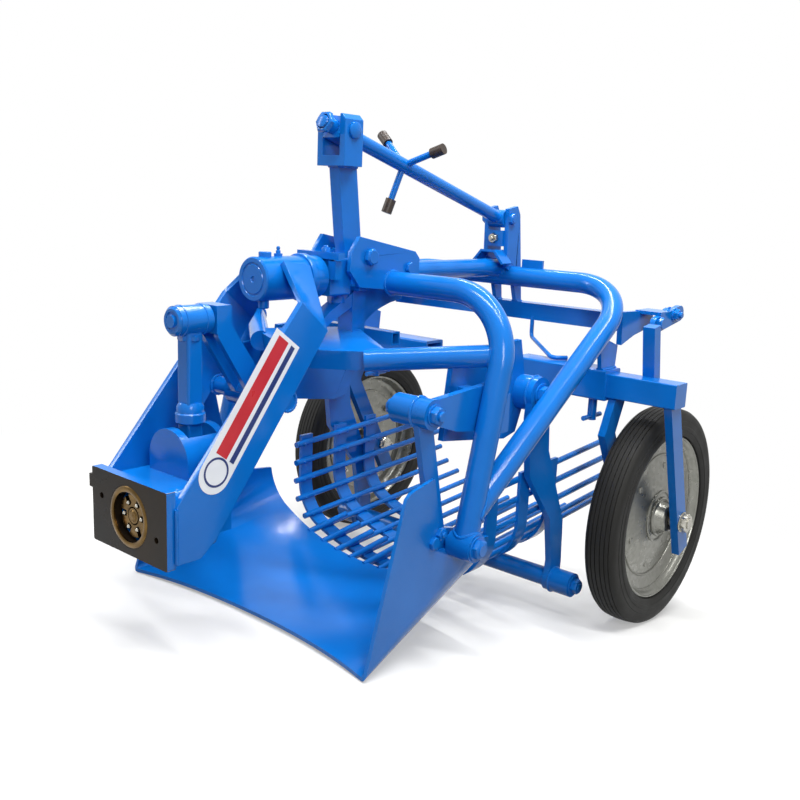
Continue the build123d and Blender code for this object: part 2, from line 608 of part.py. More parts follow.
wall_top_z = SHARE_WALL_TOP_Z + 4
wall_outline = [
    (SHARE_TIP_Y, SHARE_TIP_Z),
    (SHARE_TIP_Y + 78, SHARE_TIP_Z + 247),
    (SHARE_TIP_Y + 88, SHARE_TIP_Z + 255),
    (SHARE_TIP_Y + 143, SHARE_WALL_TOP_Z),
    (SHARE_TIP_Y + 158, SHARE_TIP_Z + 205),
    (SHARE_TIP_Y + 160, SHARE_TIP_Z + 150),
    (SHARE_REAR_Y, SHARE_TIP_Z + 136),
    (SHARE_REAR_Y, SHARE_TIP_Z),
]
share_sections = [
    (SHARE_HALF_WIDTH, SHARE_TIP_Z, SHARE_FRONT_CROWN, SHARE_FRONT_CORNER, SHARE_PLATE, wall_top_z, SHARE_TIP_Y),
    (SHARE_REAR_HALF_WIDTH, SHARE_REAR_Z, SHARE_REAR_CROWN, SHARE_REAR_CORNER, SHARE_PLATE, wall_top_z, SHARE_REAR_Y),
]
finger_stations = [FINGER_PITCH * n for n in range(-FINGERS_A_SIDE, FINGERS_A_SIDE + 1)]
finger_reach = (FINGER_LENGTH + FINGER_SINK) * math.cos(FINGER_RISE)
finger_climb = (FINGER_LENGTH + FINGER_SINK) * math.sin(FINGER_RISE)
with BuildPart() as share:
    add(loft([trough_section(*section) for section in share_sections], ruled=True))
    add(side_plate(wall_outline, -SHARE_HALF_WIDTH - 1, SHARE_HALF_WIDTH + 1), mode=Mode.INTERSECT)
    with BuildSketch(Plane.XY.offset(SHARE_TIP_Z - 10)):
        with BuildLine():
            ThreePointArc(
                (-SHARE_HALF_WIDTH, SHARE_TIP_Y),
                (0, SHARE_TIP_Y + SHARE_RECESS),
                (SHARE_HALF_WIDTH, SHARE_TIP_Y),
            )
            Line((SHARE_HALF_WIDTH, SHARE_TIP_Y), (-SHARE_HALF_WIDTH, SHARE_TIP_Y))
        make_face()
    extrude(amount=60, mode=Mode.SUBTRACT)
    for station in finger_stations:
        x, rise = crown_place(station, SHARE_REAR_HALF_WIDTH, SHARE_REAR_CROWN, SHARE_REAR_CORNER)
        z = SHARE_REAR_Z + SHARE_PLATE / 2 + rise
        add(bar_between(
            (x, SHARE_REAR_Y - FINGER_SINK, z),
            (x, SHARE_REAR_Y - FINGER_SINK + finger_reach, z + finger_climb),
            FINGER_DIAMETER,
        ))
    add(cross_pin(FRONT_FOOT_Y, FRONT_FOOT_Z, FOOT_BOLT, -foot_inner_x, foot_inner_x), mode=Mode.SUBTRACT)

# Strut from the share's side up to its arm, with its pivot bush
strut_outline = [
    (STRUT_PIVOT_Y - 16, STRUT_PIVOT_Z - 8),
    (STRUT_PIVOT_Y + 16, STRUT_PIVOT_Z - 8),
    (FRONT_FOOT_Y - 12, FRONT_FOOT_Z + 22),
    (FRONT_FOOT_Y + 18, FRONT_FOOT_Z + 14),
    (FRONT_FOOT_Y + 18, FRONT_FOOT_Z - 14),
    (FRONT_FOOT_Y - 65, FRONT_FOOT_Z - 14),
    (FRONT_FOOT_Y - 62, FRONT_FOOT_Z + 14),
    (FRONT_FOOT_Y - 44, FRONT_FOOT_Z + 22),
]
with BuildPart() as share_strut:
    add(side_plate(strut_outline, strut_inner_x, strut_outer_x))
    add(cross_pin(STRUT_PIVOT_Y, STRUT_PIVOT_Z, PIVOT_BUSH, hanger_outer_x, strut_outer_x))
    add(cross_pin(FRONT_FOOT_Y, FRONT_FOOT_Z, FOOT_BOLT, strut_inner_x, foot_inner_x), mode=Mode.SUBTRACT)

foot_pin = cross_pin(FRONT_FOOT_Y, FRONT_FOOT_Z, FOOT_BOLT, strut_inner_x - 8, foot_outer_x + 12)

# Sieve: rods along the inside of trough-shaped carriers


def sieve_z(y):
    """Height of the lowest rods' axis."""
    return SIEVE_FRONT_Z + (y - SIEVE_FRONT_Y) * math.tan(SIEVE_RISE)


rod_stations = [ROD_PITCH * (n - (ROD_COUNT - 1) / 2) for n in range(ROD_COUNT)]
carrier_wall = CARRIER_SINK + CARRIER_THICKNESS
carrier_half = sieve_half + carrier_wall
with BuildPart() as sieve_rods:
    for station in rod_stations:
        x, rise = crown_place(station, sieve_half, SIEVE_CROWN, SIEVE_CORNER)
        add(bar_between(
            (x, SIEVE_FRONT_Y, sieve_z(SIEVE_FRONT_Y) + rise),
            (x, SIEVE_REAR_Y, sieve_z(SIEVE_REAR_Y) + rise),
            ROD_DIAMETER,
        ))
    for y in CARRIER_STATIONS:
        low = sieve_z(y) - carrier_wall
        front_y = y - CARRIER_DEPTH / 2
        carrier = trough_section(
            carrier_half, low, SIEVE_CROWN + carrier_wall, SIEVE_CORNER + carrier_wall,
            CARRIER_THICKNESS, sieve_z(y) + SIEVE_SIDE_RISE, front_y,
        )
        add(extrude(carrier, -CARRIER_DEPTH))

lower_pivot_z = sieve_z(LOWER_PIVOT_Y) - carrier_wall - BUSH_GAP - SIEVE_TUBE / 2
sieve_tube = cross_pin(LOWER_PIVOT_Y, lower_pivot_z, SIEVE_TUBE, -link_x, link_x)

link_outline = [
    (SIEVE_PIVOT_Y - 26, SIEVE_PIVOT_Z - 2),
    (SIEVE_PIVOT_Y - 30, SIEVE_PIVOT_Z - 38),
    (SIEVE_PIVOT_Y - 16, SIEVE_PIVOT_Z - 142),
    (LOWER_PIVOT_Y - 29, lower_pivot_z + 122),
    (LOWER_PIVOT_Y - 14, lower_pivot_z + 38),
    (LOWER_PIVOT_Y - 20, lower_pivot_z - 6),
    (LOWER_PIVOT_Y + 20, lower_pivot_z - 6),
    (LOWER_PIVOT_Y + 22, lower_pivot_z + 30),
    (LOWER_PIVOT_Y + 17, lower_pivot_z + 110),
    (LOWER_PIVOT_Y - 9, lower_pivot_z + 165),
    (SIEVE_PIVOT_Y + 40, SIEVE_PIVOT_Z - 104),
    (SIEVE_PIVOT_Y + 30, SIEVE_PIVOT_Z - 2),
]
with BuildPart() as sieve_link:
    add(side_plate(link_outline, link_x, link_outer_x))
    add(cross_pin(SIEVE_PIVOT_Y, SIEVE_PIVOT_Z, SIEVE_BUSH, hanger_outer_x + BUSH_GAP, link_outer_x))
    add(cross_pin(LOWER_PIVOT_Y, lower_pivot_z, PIVOT_BUSH, link_x, link_outer_x + LOWER_BUSH_LENGTH))
    bolt_room = PIVOT_BOLT + 2 * AXLE_FIT
    add(cross_pin(SIEVE_PIVOT_Y, SIEVE_PIVOT_Z, bolt_room, hanger_outer_x, link_outer_x), mode=Mode.SUBTRACT)

pivot_bolt = cross_pin(SIEVE_PIVOT_Y, SIEVE_PIVOT_Z, PIVOT_BOLT, hanger_x - 12, link_outer_x + 14)

# Hitch flange, with the bore for the coupling and its register ring
flange_rear_y = FLANGE_FACE_Y + FLANGE_THICKNESS
with BuildPart() as hitch_flange:
    with BuildSketch(Plane.XZ.offset(-flange_rear_y)):
        with Locations((0, HITCH_Z)):
            RectangleRounded(FLANGE_WIDTH, FLANGE_HEIGHT, 3)
            Circle(FLANGE_BORE / 2, mode=Mode.SUBTRACT)
            with PolarLocations(DOWEL_CIRCLE / 2, 2, start_angle=DOWEL_ANGLE):
                Circle(DOWEL_HOLE / 2, mode=Mode.SUBTRACT)
    extrude(amount=FLANGE_THICKNESS)
    with BuildSketch(Plane.XZ.offset(-FLANGE_FACE_Y)):
        with Locations((0, HITCH_Z)):
            Circle(REGISTER_GROOVE / 2)
            Circle(REGISTER_GROOVE / 2 - REGISTER_GROOVE_WIDTH, mode=Mode.SUBTRACT)
    extrude(amount=-REGISTER_DEPTH, mode=Mode.SUBTRACT)

# Gear housing behind the flange, bored for the coupling and its shaft, with the crankcase on its rear
with BuildPart() as gear_housing:
    with BuildSketch(Plane.XZ.offset(-HOUSING_REAR_Y)):
        with Locations((0, HITCH_Z)):
            RectangleRounded(HOUSING_WIDTH, HOUSING_HEIGHT, 22)
    extrude(amount=HOUSING_REAR_Y - flange_rear_y)
    with BuildSketch(Plane.XZ.offset(-CRANKCASE_REAR_Y)):
        with BuildLine():
            half = CRANKCASE_WIDTH / 2
            Polyline(
                (-half, CRANKCASE_TOP_Z - half), (-half, HITCH_Z - 40), (half, HITCH_Z - 40),
                (half, CRANKCASE_TOP_Z - half),
            )
            RadiusArc((half, CRANKCASE_TOP_Z - half), (-half, CRANKCASE_TOP_Z - half), -half)
        make_face()
    extrude(amount=CRANKCASE_REAR_Y - CRANKCASE_FRONT_Y)
    with BuildSketch(Plane.XY.offset(CRANKCASE_TOP_Z)):
        with Locations((0, CONROD_HEAD_Y)):
            Rectangle(CRANK_SLOT_WIDTH, CRANK_SLOT_LENGTH)
    extrude(amount=-CRANK_SLOT_DEPTH, mode=Mode.SUBTRACT)
    add(bar_between((0, flange_rear_y, HITCH_Z), (0, COUPLING_REAR_Y + 6, HITCH_Z), FLANGE_BORE), mode=Mode.SUBTRACT)
    shaft_room = COUPLING_SHAFT + 2 * AXLE_FIT
    add(bar_between((0, COUPLING_REAR_Y, HITCH_Z), (0, HOUSING_REAR_Y - 10, HITCH_Z), shaft_room), mode=Mode.SUBTRACT)

# Coupling that the tractor's power take-off turns
with BuildPart() as pto_coupling:
    with BuildSketch(Plane.XZ.offset(-COUPLING_REAR_Y)):
        with Locations((0, HITCH_Z)):
            Circle(COUPLING_DIAMETER / 2)
    extrude(amount=COUPLING_REAR_Y - FLANGE_FACE_Y - 8)
    with BuildSketch(Plane.XZ.offset(-FLANGE_FACE_Y - 8)):
        with Locations((0, HITCH_Z)):
            Circle(COUPLING_BORE / 2)
            with PolarLocations(COUPLING_DIAMETER / 2 - 6, COUPLING_SLOTS):
                RectangleRounded(16, 9, 2)
    extrude(amount=-COUPLING_SLOT_DEPTH, mode=Mode.SUBTRACT)
    with BuildSketch(Plane.XZ.offset(-COUPLING_REAR_Y)):
        with Locations((0, HITCH_Z)):
            Circle(COUPLING_SHAFT / 2)
    extrude(amount=COUPLING_REAR_Y - HOUSING_REAR_Y + 14)

# Hitch side plate: an upright lower part, and an upper part bent in to the swivel tube
plate_outline = [
    (flange_rear_y, HITCH_Z - HOUSING_HEIGHT / 2),
    (flange_rear_y, HITCH_Z + 32),
    (BEND_FRONT_Y, BEND_FRONT_Z),
    (BEND_REAR_Y, BEND_REAR_Z),
    (HOUSING_REAR_Y - 14, HITCH_Z - 26),
    (HOUSING_REAR_Y - 40, HITCH_Z - HOUSING_HEIGHT / 2),
]
bend_run = Vector(0, BEND_REAR_Y - BEND_FRONT_Y, BEND_REAR_Z - BEND_FRONT_Z)
bend_middle = Vector(
    HITCH_PLATE_X + HITCH_PLATE / 2, (BEND_FRONT_Y + BEND_REAR_Y) / 2, (BEND_FRONT_Z + BEND_REAR_Z) / 2,
)
collar_middle = Vector(SWIVEL_TUBE / 2 - 4, COLLAR_Y, SWIVEL_Z + 22)
collar_run = Vector(0, COLLAR_LENGTH, -4)
rise_run = (collar_middle - bend_middle).normalized()
bend_edge = Plane(origin=bend_middle, x_dir=bend_run, z_dir=Vector(1, 0, 0).cross(bend_run))
collar_edge = Plane(origin=collar_middle, x_dir=collar_run, z_dir=rise_run)
with BuildPart() as hitch_plate:
    with BuildSketch(bend_edge):
        Rectangle(bend_run.length, HITCH_PLATE)
    with BuildSketch(collar_edge):
        Rectangle(COLLAR_LENGTH, HITCH_PLATE)
    loft(ruled=True)
    add(side_plate(plate_outline, HITCH_PLATE_X, HITCH_PLATE_X + HITCH_PLATE))
    swivel_barrel = bar_between((0, SWIVEL_FRONT_Y, SWIVEL_Z), (0, SWIVEL_REAR_Y, SWIVEL_Z), SWIVEL_TUBE)
    add(swivel_barrel, mode=Mode.SUBTRACT)
hitch_plate_part = hitch_plate.part.solids().sort_by(SortBy.VOLUME)[-1]

# Swivel tube, closed by a disc in front
with BuildPart() as swivel_tube:
    with BuildSketch(Plane.XZ.offset(-SWIVEL_REAR_Y)):
        with Locations((0, SWIVEL_Z)):
            Circle(SWIVEL_TUBE / 2)
    extrude(amount=SWIVEL_REAR_Y - SWIVEL_FRONT_Y)
    with BuildSketch(Plane.XZ.offset(-SWIVEL_REAR_Y)):
        with Locations((0, SWIVEL_Z)):
            Circle(SWIVEL_PIN / 2 + AXLE_FIT)
    extrude(amount=SWIVEL_REAR_Y - SWIVEL_FRONT_Y - SWIVEL_DISC, mode=Mode.SUBTRACT)

# Swivel block: the roll pin in front, and the block behind it
with BuildPart() as swivel_block:
    with BuildSketch(Plane.XZ.offset(-BLOCK_REAR_Y)):
        with Locations((0, SWIVEL_Z)):
            RectangleRounded(BLOCK_WIDTH, BLOCK_HEIGHT, 4)
    extrude(amount=BLOCK_REAR_Y - SWIVEL_REAR_Y - 6)
    add(bar_between((0, SWIVEL_REAR_Y + 6, SWIVEL_Z), (0, SWIVEL_FRONT_Y + 24, SWIVEL_Z), SWIVEL_PIN))
    fillet(swivel_block.edges().filter_by(Axis.X).group_by(Axis.Y)[-1], 6)

# Mast: from the head pin up to the screw's clevis
mast_outline = [
    (BLOCK_REAR_Y, SWIVEL_Z - 6),
    (BLOCK_REAR_Y, SWIVEL_Z + BLOCK_HEIGHT / 2 + 14),
    (MAST_LOW_Y - MAST_DEPTH / 2, SWIVEL_Z + BLOCK_HEIGHT / 2 + 30),
    (MAST_TOP_Y - MAST_DEPTH / 2, CLEVIS_BOTTOM_Z),
    (MAST_TOP_Y + MAST_DEPTH / 2, CLEVIS_BOTTOM_Z),
    (MAST_LOW_Y + MAST_DEPTH / 2, HEAD_PIN_Z + 30),
    (HEAD_PIN_Y + 22, HEAD_PIN_Z + 10),
    (HEAD_PIN_Y + 22, HEAD_PIN_Z - 14),
    (HEAD_PIN_Y, SWIVEL_Z - 6),
]
clevis_front_y = SCREW_PIN_Y - CLEVIS_DEPTH / 2
clevis_gap = CLEVIS_WIDTH - 2 * CLEVIS_CHEEK
with BuildPart() as mast:
    add(side_plate(mast_outline, -MAST_WIDTH / 2, MAST_WIDTH / 2))
    with BuildSketch(Plane.XY.offset(CLEVIS_BOTTOM_Z)):
        with Locations((0, SCREW_PIN_Y)):
            Rectangle(CLEVIS_WIDTH, CLEVIS_DEPTH)
    extrude(amount=CLEVIS_TOP_Z - CLEVIS_BOTTOM_Z)
    chamfer(mast.edges().filter_by(Axis.Y).group_by(Axis.Z)[-1], CLEVIS_CHAMFER)
    with BuildSketch(Plane.XZ.offset(-clevis_front_y - CLEVIS_DEPTH - 1)):
        with Locations((0, (CLEVIS_SLOT_Z + CLEVIS_TOP_Z) / 2 + 1)):
            Rectangle(clevis_gap, CLEVIS_TOP_Z - CLEVIS_SLOT_Z + 2)
    extrude(amount=CLEVIS_DEPTH + 2, mode=Mode.SUBTRACT)
    add(
        cross_pin(
            SCREW_PIN_Y, SCREW_PIN_Z, TRUNNION_PIN + 2 * AXLE_FIT, -CLEVIS_WIDTH / 2, CLEVIS_WIDTH / 2,
        ),
        mode=Mode.SUBTRACT,
    )
    add(
        cross_pin(HEAD_PIN_Y, HEAD_PIN_Z, HEAD_PIN + 2 * AXLE_FIT, -MAST_WIDTH / 2, MAST_WIDTH / 2),
        mode=Mode.SUBTRACT,
    )

# Trunnion that the screw threads through, and that turns in the clevis
screw_start = Vector(0, SCREW_PIN_Y, SCREW_PIN_Z)
screw_run = Vector(0, LUG_PIN_Y, LUG_PIN_Z) - screw_start
screw_way = screw_run.normalized()
with BuildPart() as trunnion:
    with BuildSketch(Plane(origin=screw_start - screw_way * TRUNNION / 2, x_dir=(1, 0, 0), z_dir=screw_way)):
        RectangleRounded(2 * (CLEVIS_WIDTH / 2 - CLEVIS_CHEEK - BUSH_GAP), TRUNNION, 3)
    extrude(amount=TRUNNION)
    add(cross_pin(SCREW_PIN_Y, SCREW_PIN_Z, TRUNNION_PIN, -CLEVIS_WIDTH / 2 - 3, CLEVIS_WIDTH / 2 + 3))
    trunnion_room = SCREW_DIAMETER + 2 * AXLE_FIT
    add(bar_between(
        tuple(screw_start - screw_way * TRUNNION), tuple(screw_start + screw_way * TRUNNION), trunnion_room,
    ), mode=Mode.SUBTRACT)

# Adjusting screw, from its trunnion to its eye between the lugs, with a three-armed handle
hub_middle = screw_start + screw_way * SCREW_HANDLE_AT
handle_plane = Plane(origin=hub_middle, x_dir=(1, 0, 0), z_dir=screw_way)
arm_ways = [
    handle_plane.from_local_coords((math.cos(math.radians(a)), math.sin(math.radians(a)), 0)) - hub_middle
    for a in HANDLE_ANGLES
]
eye_start = screw_start + screw_way * (screw_run.length - LUG_EYE / 2 + 4)
eye_half = LUG_HALF_GAP - EYE_SIDE_GAP
with BuildPart() as adjusting_screw:
    add(bar_between(tuple(screw_start - screw_way * SCREW_STUB), tuple(eye_start), SCREW_DIAMETER))
    add(cross_pin(LUG_PIN_Y, LUG_PIN_Z, LUG_EYE, -eye_half, eye_half))
    add(cross_pin(LUG_PIN_Y, LUG_PIN_Z, LUG_PIN + 2 * EYE_FIT, -eye_half, eye_half), mode=Mode.SUBTRACT)
    for way in arm_ways:
        add(bar_between(tuple(hub_middle), tuple(hub_middle + way * (HANDLE_ARM - GRIP_LENGTH)), HANDLE_ROD))

with BuildPart() as handle_grips:
    for way in arm_ways:
        grip_start, grip_end = hub_middle + way * (HANDLE_ARM - GRIP_LENGTH), hub_middle + way * HANDLE_ARM
        add(bar_between(tuple(grip_start), tuple(grip_end), GRIP_DIAMETER))

lug_pin_end = LUG_HALF_GAP + LUG_THICKNESS + 8
lug_pin = cross_pin(LUG_PIN_Y, LUG_PIN_Z, LUG_PIN, -lug_pin_end, lug_pin_end)

# Rocker: its shaft between the hitch plates, and the lever that the crank rod moves
rocker_shaft = cross_pin(ROCKER_SHAFT_Y, ROCKER_SHAFT_Z, ROCKER_SHAFT, -HITCH_PLATE_X, HITCH_PLATE_X)
conrod_rear_y = CONROD_HEAD_Y + CONROD_HEAD_LENGTH / 2
conrod_front_y = CONROD_HEAD_Y - CONROD_HEAD_LENGTH / 2
rocker_front_y = conrod_rear_y + 3
rocker_lever_outline = [
    (rocker_front_y + 2, CONROD_HEAD_Z + 18),
    (rocker_front_y + ROCKER_BLOCK, CONROD_HEAD_Z + 18),
    (rocker_front_y + ROCKER_BLOCK, CONROD_HEAD_Z - 8),
    (ROCKER_SHAFT_Y + ROCKER_WIDTH / 2, ROCKER_SHAFT_Z + 8),
    (ROCKER_SHAFT_Y + 8, ROCKER_SHAFT_Z - ROCKER_WIDTH / 2),
    (ROCKER_SHAFT_Y - ROCKER_WIDTH / 2, ROCKER_SHAFT_Z - 8),
    (rocker_front_y + 2, CONROD_HEAD_Z - 24),
]
with BuildPart() as rocker_lever:
    for low in (ROCKER_BAR_X, -ROCKER_BAR_X - ROCKER_BAR):
        add(side_plate(rocker_lever_outline, low, low + ROCKER_BAR))
    with BuildSketch(Plane.XZ.offset(-rocker_front_y - ROCKER_BLOCK)):
        with Locations((0, CONROD_HEAD_Z)):
            Rectangle(2 * (ROCKER_BAR_X + ROCKER_BAR), 40)
    extrude(amount=ROCKER_BLOCK)
    add(bar_between((0, rocker_front_y, CONROD_HEAD_Z), (0, conrod_front_y - 6, CONROD_HEAD_Z), CONROD_PIN))
    add(cross_pin(ROCKER_SHAFT_Y, ROCKER_SHAFT_Z, ROCKER_HUB, -ROCKER_HUB_LENGTH / 2, ROCKER_HUB_LENGTH / 2))
    rocker_room = ROCKER_SHAFT + 2 * AXLE_FIT
    add(cross_pin(ROCKER_SHAFT_Y, ROCKER_SHAFT_Z, rocker_room, -HITCH_PLATE_X, HITCH_PLATE_X), mode=Mode.SUBTRACT)

# Crank rod, from the rocker's pin down into the crankcase
with BuildPart() as con_rod:
    add(bar_between((0, conrod_front_y, CONROD_HEAD_Z), (0, conrod_rear_y, CONROD_HEAD_Z), CONROD_HEAD))
    with BuildSketch(Plane.XY.offset(CONROD_FOOT_Z)):
        with Locations((0, CONROD_HEAD_Y)):
            RectangleRounded(CONROD_SIZE, CONROD_SIZE, 4)
    extrude(amount=CONROD_HEAD_Z - CONROD_FOOT_Z)
    pin_room = CONROD_PIN + 2 * AXLE_FIT
    pin_ends = ((0, conrod_front_y - 1, CONROD_HEAD_Z), (0, conrod_rear_y + 1, CONROD_HEAD_Z))
    add(bar_between(*pin_ends, pin_room), mode=Mode.SUBTRACT)

# Wheel bar with its fork and strut
outer_leg_x = half_track + TYRE_WIDTH / 2 + FORK_GAP
inner_leg_x = half_track - TYRE_WIDTH / 2 - FORK_GAP - FORK_BAR
bar_end_x = outer_leg_x + FORK_BAR + BAR_OVERHANG
leg_run = Vector(0, -BAR_Y, AXLE_Z - BAR_Z)
tail = leg_run.normalized() * FORK_TAIL
outer_leg_route = [(BAR_Y, BAR_Z - BAR_SIZE / 2 + 6), (tail.Y, AXLE_Z + tail.Z)]
inner_leg_route = [
    (BAR_Y + 4, BAR_Z - BAR_SIZE / 2 - 2),
    (BAR_Y - 24, BAR_Z - 84),
    (tail.Y, AXLE_Z + tail.Z),
]
with BuildPart() as wheel_bar:
    with BuildSketch(Plane.YZ.offset(BAR_INNER_X)):
        with Locations((BAR_Y, BAR_Z)):
            RectangleRounded(BAR_SIZE, BAR_SIZE, 2)
    extrude(amount=bar_end_x - BAR_INNER_X)
    for low, route in ((outer_leg_x, outer_leg_route), (inner_leg_x, inner_leg_route)):
        with BuildSketch(Plane.YZ.offset(low)):
            with BuildLine():
                Polyline(*route)
            trace(line_width=FORK_DEPTH)
        extrude(amount=FORK_BAR)
    with BuildSketch(Plane.YZ.offset(half_track - STRUT_INSET)):
        with BuildLine():
            Line((BAR_Y + 26, BAR_Z + BAR_SIZE / 2 - 8), (BAR_Y + 8, STRUT_TOP_Z))
        trace(line_width=STRUT_SIZE)
    extrude(amount=STRUT_SIZE)
    add(cross_pin(0, AXLE_Z, AXLE_DIAMETER, inner_leg_x, bar_end_x), mode=Mode.SUBTRACT)

with BuildPart() as axle:
    add(cross_pin(0, AXLE_Z, AXLE_DIAMETER, inner_leg_x - 10, bar_end_x + 8))

# Clamp screw under the sleeve, with its bar handle
with BuildPart() as clamp_screw:
    with BuildSketch(Plane.XY.offset(BAR_Z - BAR_SIZE / 2 - SLEEVE_FIT)):
        with Locations((CLAMP_X, BAR_Y)):
            Circle(CLAMP_SCREW / 2)
    extrude(amount=-CLAMP_LENGTH)
    low_z = BAR_Z - BAR_SIZE / 2 - SLEEVE_FIT - CLAMP_LENGTH + 6
    add(bar_between((CLAMP_X, BAR_Y - 30, low_z), (CLAMP_X, BAR_Y + 30, low_z), 9))
with BuildPart() as sleeve_drilled:
    add(sleeve_part)
    add(bar_between((CLAMP_X, BAR_Y, BAR_Z), (CLAMP_X, BAR_Y, BAR_Z - SLEEVE_SIZE), CLAMP_SCREW), mode=Mode.SUBTRACT)

# Wheel: tyre, pressed disc rim and hub, as tables of distance from the wheel's middle and radius
rim_radius, tyre_radius, tyre_half = RIM_DIAMETER / 2, WHEEL_DIAMETER / 2, TYRE_WIDTH / 2
tyre_profile = [
    (tyre_half - 8, rim_radius), (tyre_half, rim_radius + 14), (tyre_half, tyre_radius - 16),
    (tyre_half - 5, tyre_radius - 6), (tyre_half - 16, tyre_radius),
    (16 - tyre_half, tyre_radius), (5 - tyre_half, tyre_radius - 6),
    (-tyre_half, tyre_radius - 16), (-tyre_half, rim_radius + 14), (8 - tyre_half, rim_radius),
]
rim_half, hub_half, bore = tyre_half - 8, HUB_LENGTH / 2, AXLE_DIAMETER / 2 + AXLE_FIT
rim_profile = [
    (-rim_half, rim_radius), (rim_half, rim_radius), (rim_half, rim_radius - RIM_WALL),
    (10, rim_radius - 12), (4, rim_radius - 40), (16, HUB_DIAMETER / 2 + 4),
    (hub_half, HUB_DIAMETER / 2 - 6), (hub_half, bore), (-hub_half, bore), (-hub_half, HUB_DIAMETER / 2 - 6),
    (8, HUB_DIAMETER / 2), (-2, rim_radius - 42), (2, rim_radius - 12), (-rim_half, rim_radius - RIM_WALL),
]


def wheel_ring(profile):
    """A ring about the wheel's axis from its profile."""
    with BuildPart() as ring:
        with BuildSketch(Plane.XZ):
            with BuildLine():
                Polyline(*[(half_track + x, radius) for x, radius in profile], close=True)
            make_face()
        revolve(axis=Axis.X)
    return ring.part


tyre = wheel_ring(tyre_profile)
rim = wheel_ring(rim_profile)
wheel_lift = Location((0, 0, AXLE_Z))

write_pair(front_arch.part, "front_arch")
write(tabbed_arch.part, "rear_arch")
write_pair(head_plate.part, "head_plate")
write(head_pin, "head_pin")
write(spine_part, "spine")
write(brace_part, "brace_frame")
write(cross_bar.part, "cross_bar")
write(screw_lugs.part, "screw_lugs")
write(lug_pin, "lug_pin")
write_pair(bracket_part, "rear_bracket")
write_pair(sleeve_drilled.part, "sleeve")
write_pair(clamp_screw.part, "clamp_screw")
write_pair(hanger_part, "hanger_plate")
write_pair(arm_part, "strut_arm")
write_pair(pivot_bolt, "pivot_bolt")
write(share.part, "share")
write_pair(share_strut.part, "share_strut")
write_pair(foot_pin, "foot_pin")
write(sieve_rods.part, "sieve_rods")
write(sieve_tube, "sieve_tube")
write_pair(sieve_link.part, "sieve_link")
write(hitch_flange.part, "hitch_flange")
write(gear_housing.part, "gear_housing")
write(pto_coupling.part, "pto_coupling")
write_pair(hitch_plate_part, "hitch_plate")
write(swivel_tube.part, "swivel_tube")
write(swivel_block.part, "swivel_block")
write(mast.part, "mast")
write(trunnion.part, "trunnion")
write(adjusting_screw.part, "adjusting_screw")
write(handle_grips.part, "handle_grips")
write(rocker_shaft, "rocker_shaft")
write(rocker_lever.part, "rocker_lever")
write(con_rod.part, "con_rod")
write_pair(wheel_bar.part, "wheel_bar")
write_pair(axle.part, "axle")
write_pair(wheel_lift * tyre, "tyre")
write_pair(wheel_lift * rim, "rim")
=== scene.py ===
"""Looks of a parked potato digger: glossy blue enamel over steel, galvanised wheels and solid rubber tyres.

Sizes are in millimetres, in the machine's level axes: X to its left, Y rearward from the wheel axle and Z up
from the bottom of the level wheels. One matrix, worked out from the frame's joints, seats them as it parks.
"""

from __future__ import annotations

import json
import logging
import math
from collections.abc import Sequence
from dataclasses import dataclass
from enum import Enum

import bmesh
import bpy
from mathutils import Matrix, Vector

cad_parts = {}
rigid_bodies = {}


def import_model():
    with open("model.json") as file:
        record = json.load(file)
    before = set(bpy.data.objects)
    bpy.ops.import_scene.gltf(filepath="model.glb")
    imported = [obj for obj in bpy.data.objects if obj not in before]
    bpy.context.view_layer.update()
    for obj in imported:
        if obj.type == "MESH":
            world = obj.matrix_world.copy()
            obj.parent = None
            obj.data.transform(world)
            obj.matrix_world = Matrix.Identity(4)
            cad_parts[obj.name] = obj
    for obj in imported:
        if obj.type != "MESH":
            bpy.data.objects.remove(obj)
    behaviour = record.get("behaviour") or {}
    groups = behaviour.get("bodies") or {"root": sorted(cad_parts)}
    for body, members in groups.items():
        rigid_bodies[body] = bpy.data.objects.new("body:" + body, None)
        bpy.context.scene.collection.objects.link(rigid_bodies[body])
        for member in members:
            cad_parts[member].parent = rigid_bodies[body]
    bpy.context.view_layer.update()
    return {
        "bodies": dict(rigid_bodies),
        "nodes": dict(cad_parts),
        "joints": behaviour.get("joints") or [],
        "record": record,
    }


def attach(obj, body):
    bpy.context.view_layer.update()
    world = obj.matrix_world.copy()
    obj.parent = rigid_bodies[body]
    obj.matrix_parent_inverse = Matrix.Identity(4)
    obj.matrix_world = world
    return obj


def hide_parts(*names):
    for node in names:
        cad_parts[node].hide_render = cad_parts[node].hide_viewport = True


log = logging.getLogger("potato_digger")

MM = 0.001
WHEEL_RADIUS = 200.0
# A radius under this is a point on the axis
ON_AXIS = 1e-6
# Steps round a disc, a hexagon and a bead, and the distance between a bead's points
DISC_STEPS, HEXAGON_STEPS, TUBE_STEPS, TUBE_STEP = 40, 24, 8, 1.4
# The fewest points of a circle, of a saddle and of a line
FEWEST_ROUND, FEWEST_SADDLE, FEWEST_STRAIGHT = 12, 16, 3
# Degrees after which a hexagon looks the same
HEXAGON_TURN = 60
# Where a hexagon's chamfer starts in shares of its height, and its top radius in shares of half its width
CHAMFER_START, CHAMFER_TOP = 0.82, 0.95
# How much a bead swells with each drop, how much it wanders along its run, and how fast
DROP_SWELL, SLOW_SWELL, SLOW_TURN = 0.13, 0.06, 0.21
# Finer layers in the noise of the slow patches and of the fine relief
PATCH_DETAIL, GRAIN_DETAIL = 3.0, 2.0
# Vertices nearer than this are one; angles from which an edge is broken, and from which it is sharp
MERGE, EDGE_ANGLE, BATCH_SHARP = 0.01, 40.0, 42.0
Point = tuple[float, float, float]
Profile = Sequence[tuple[float, float]]


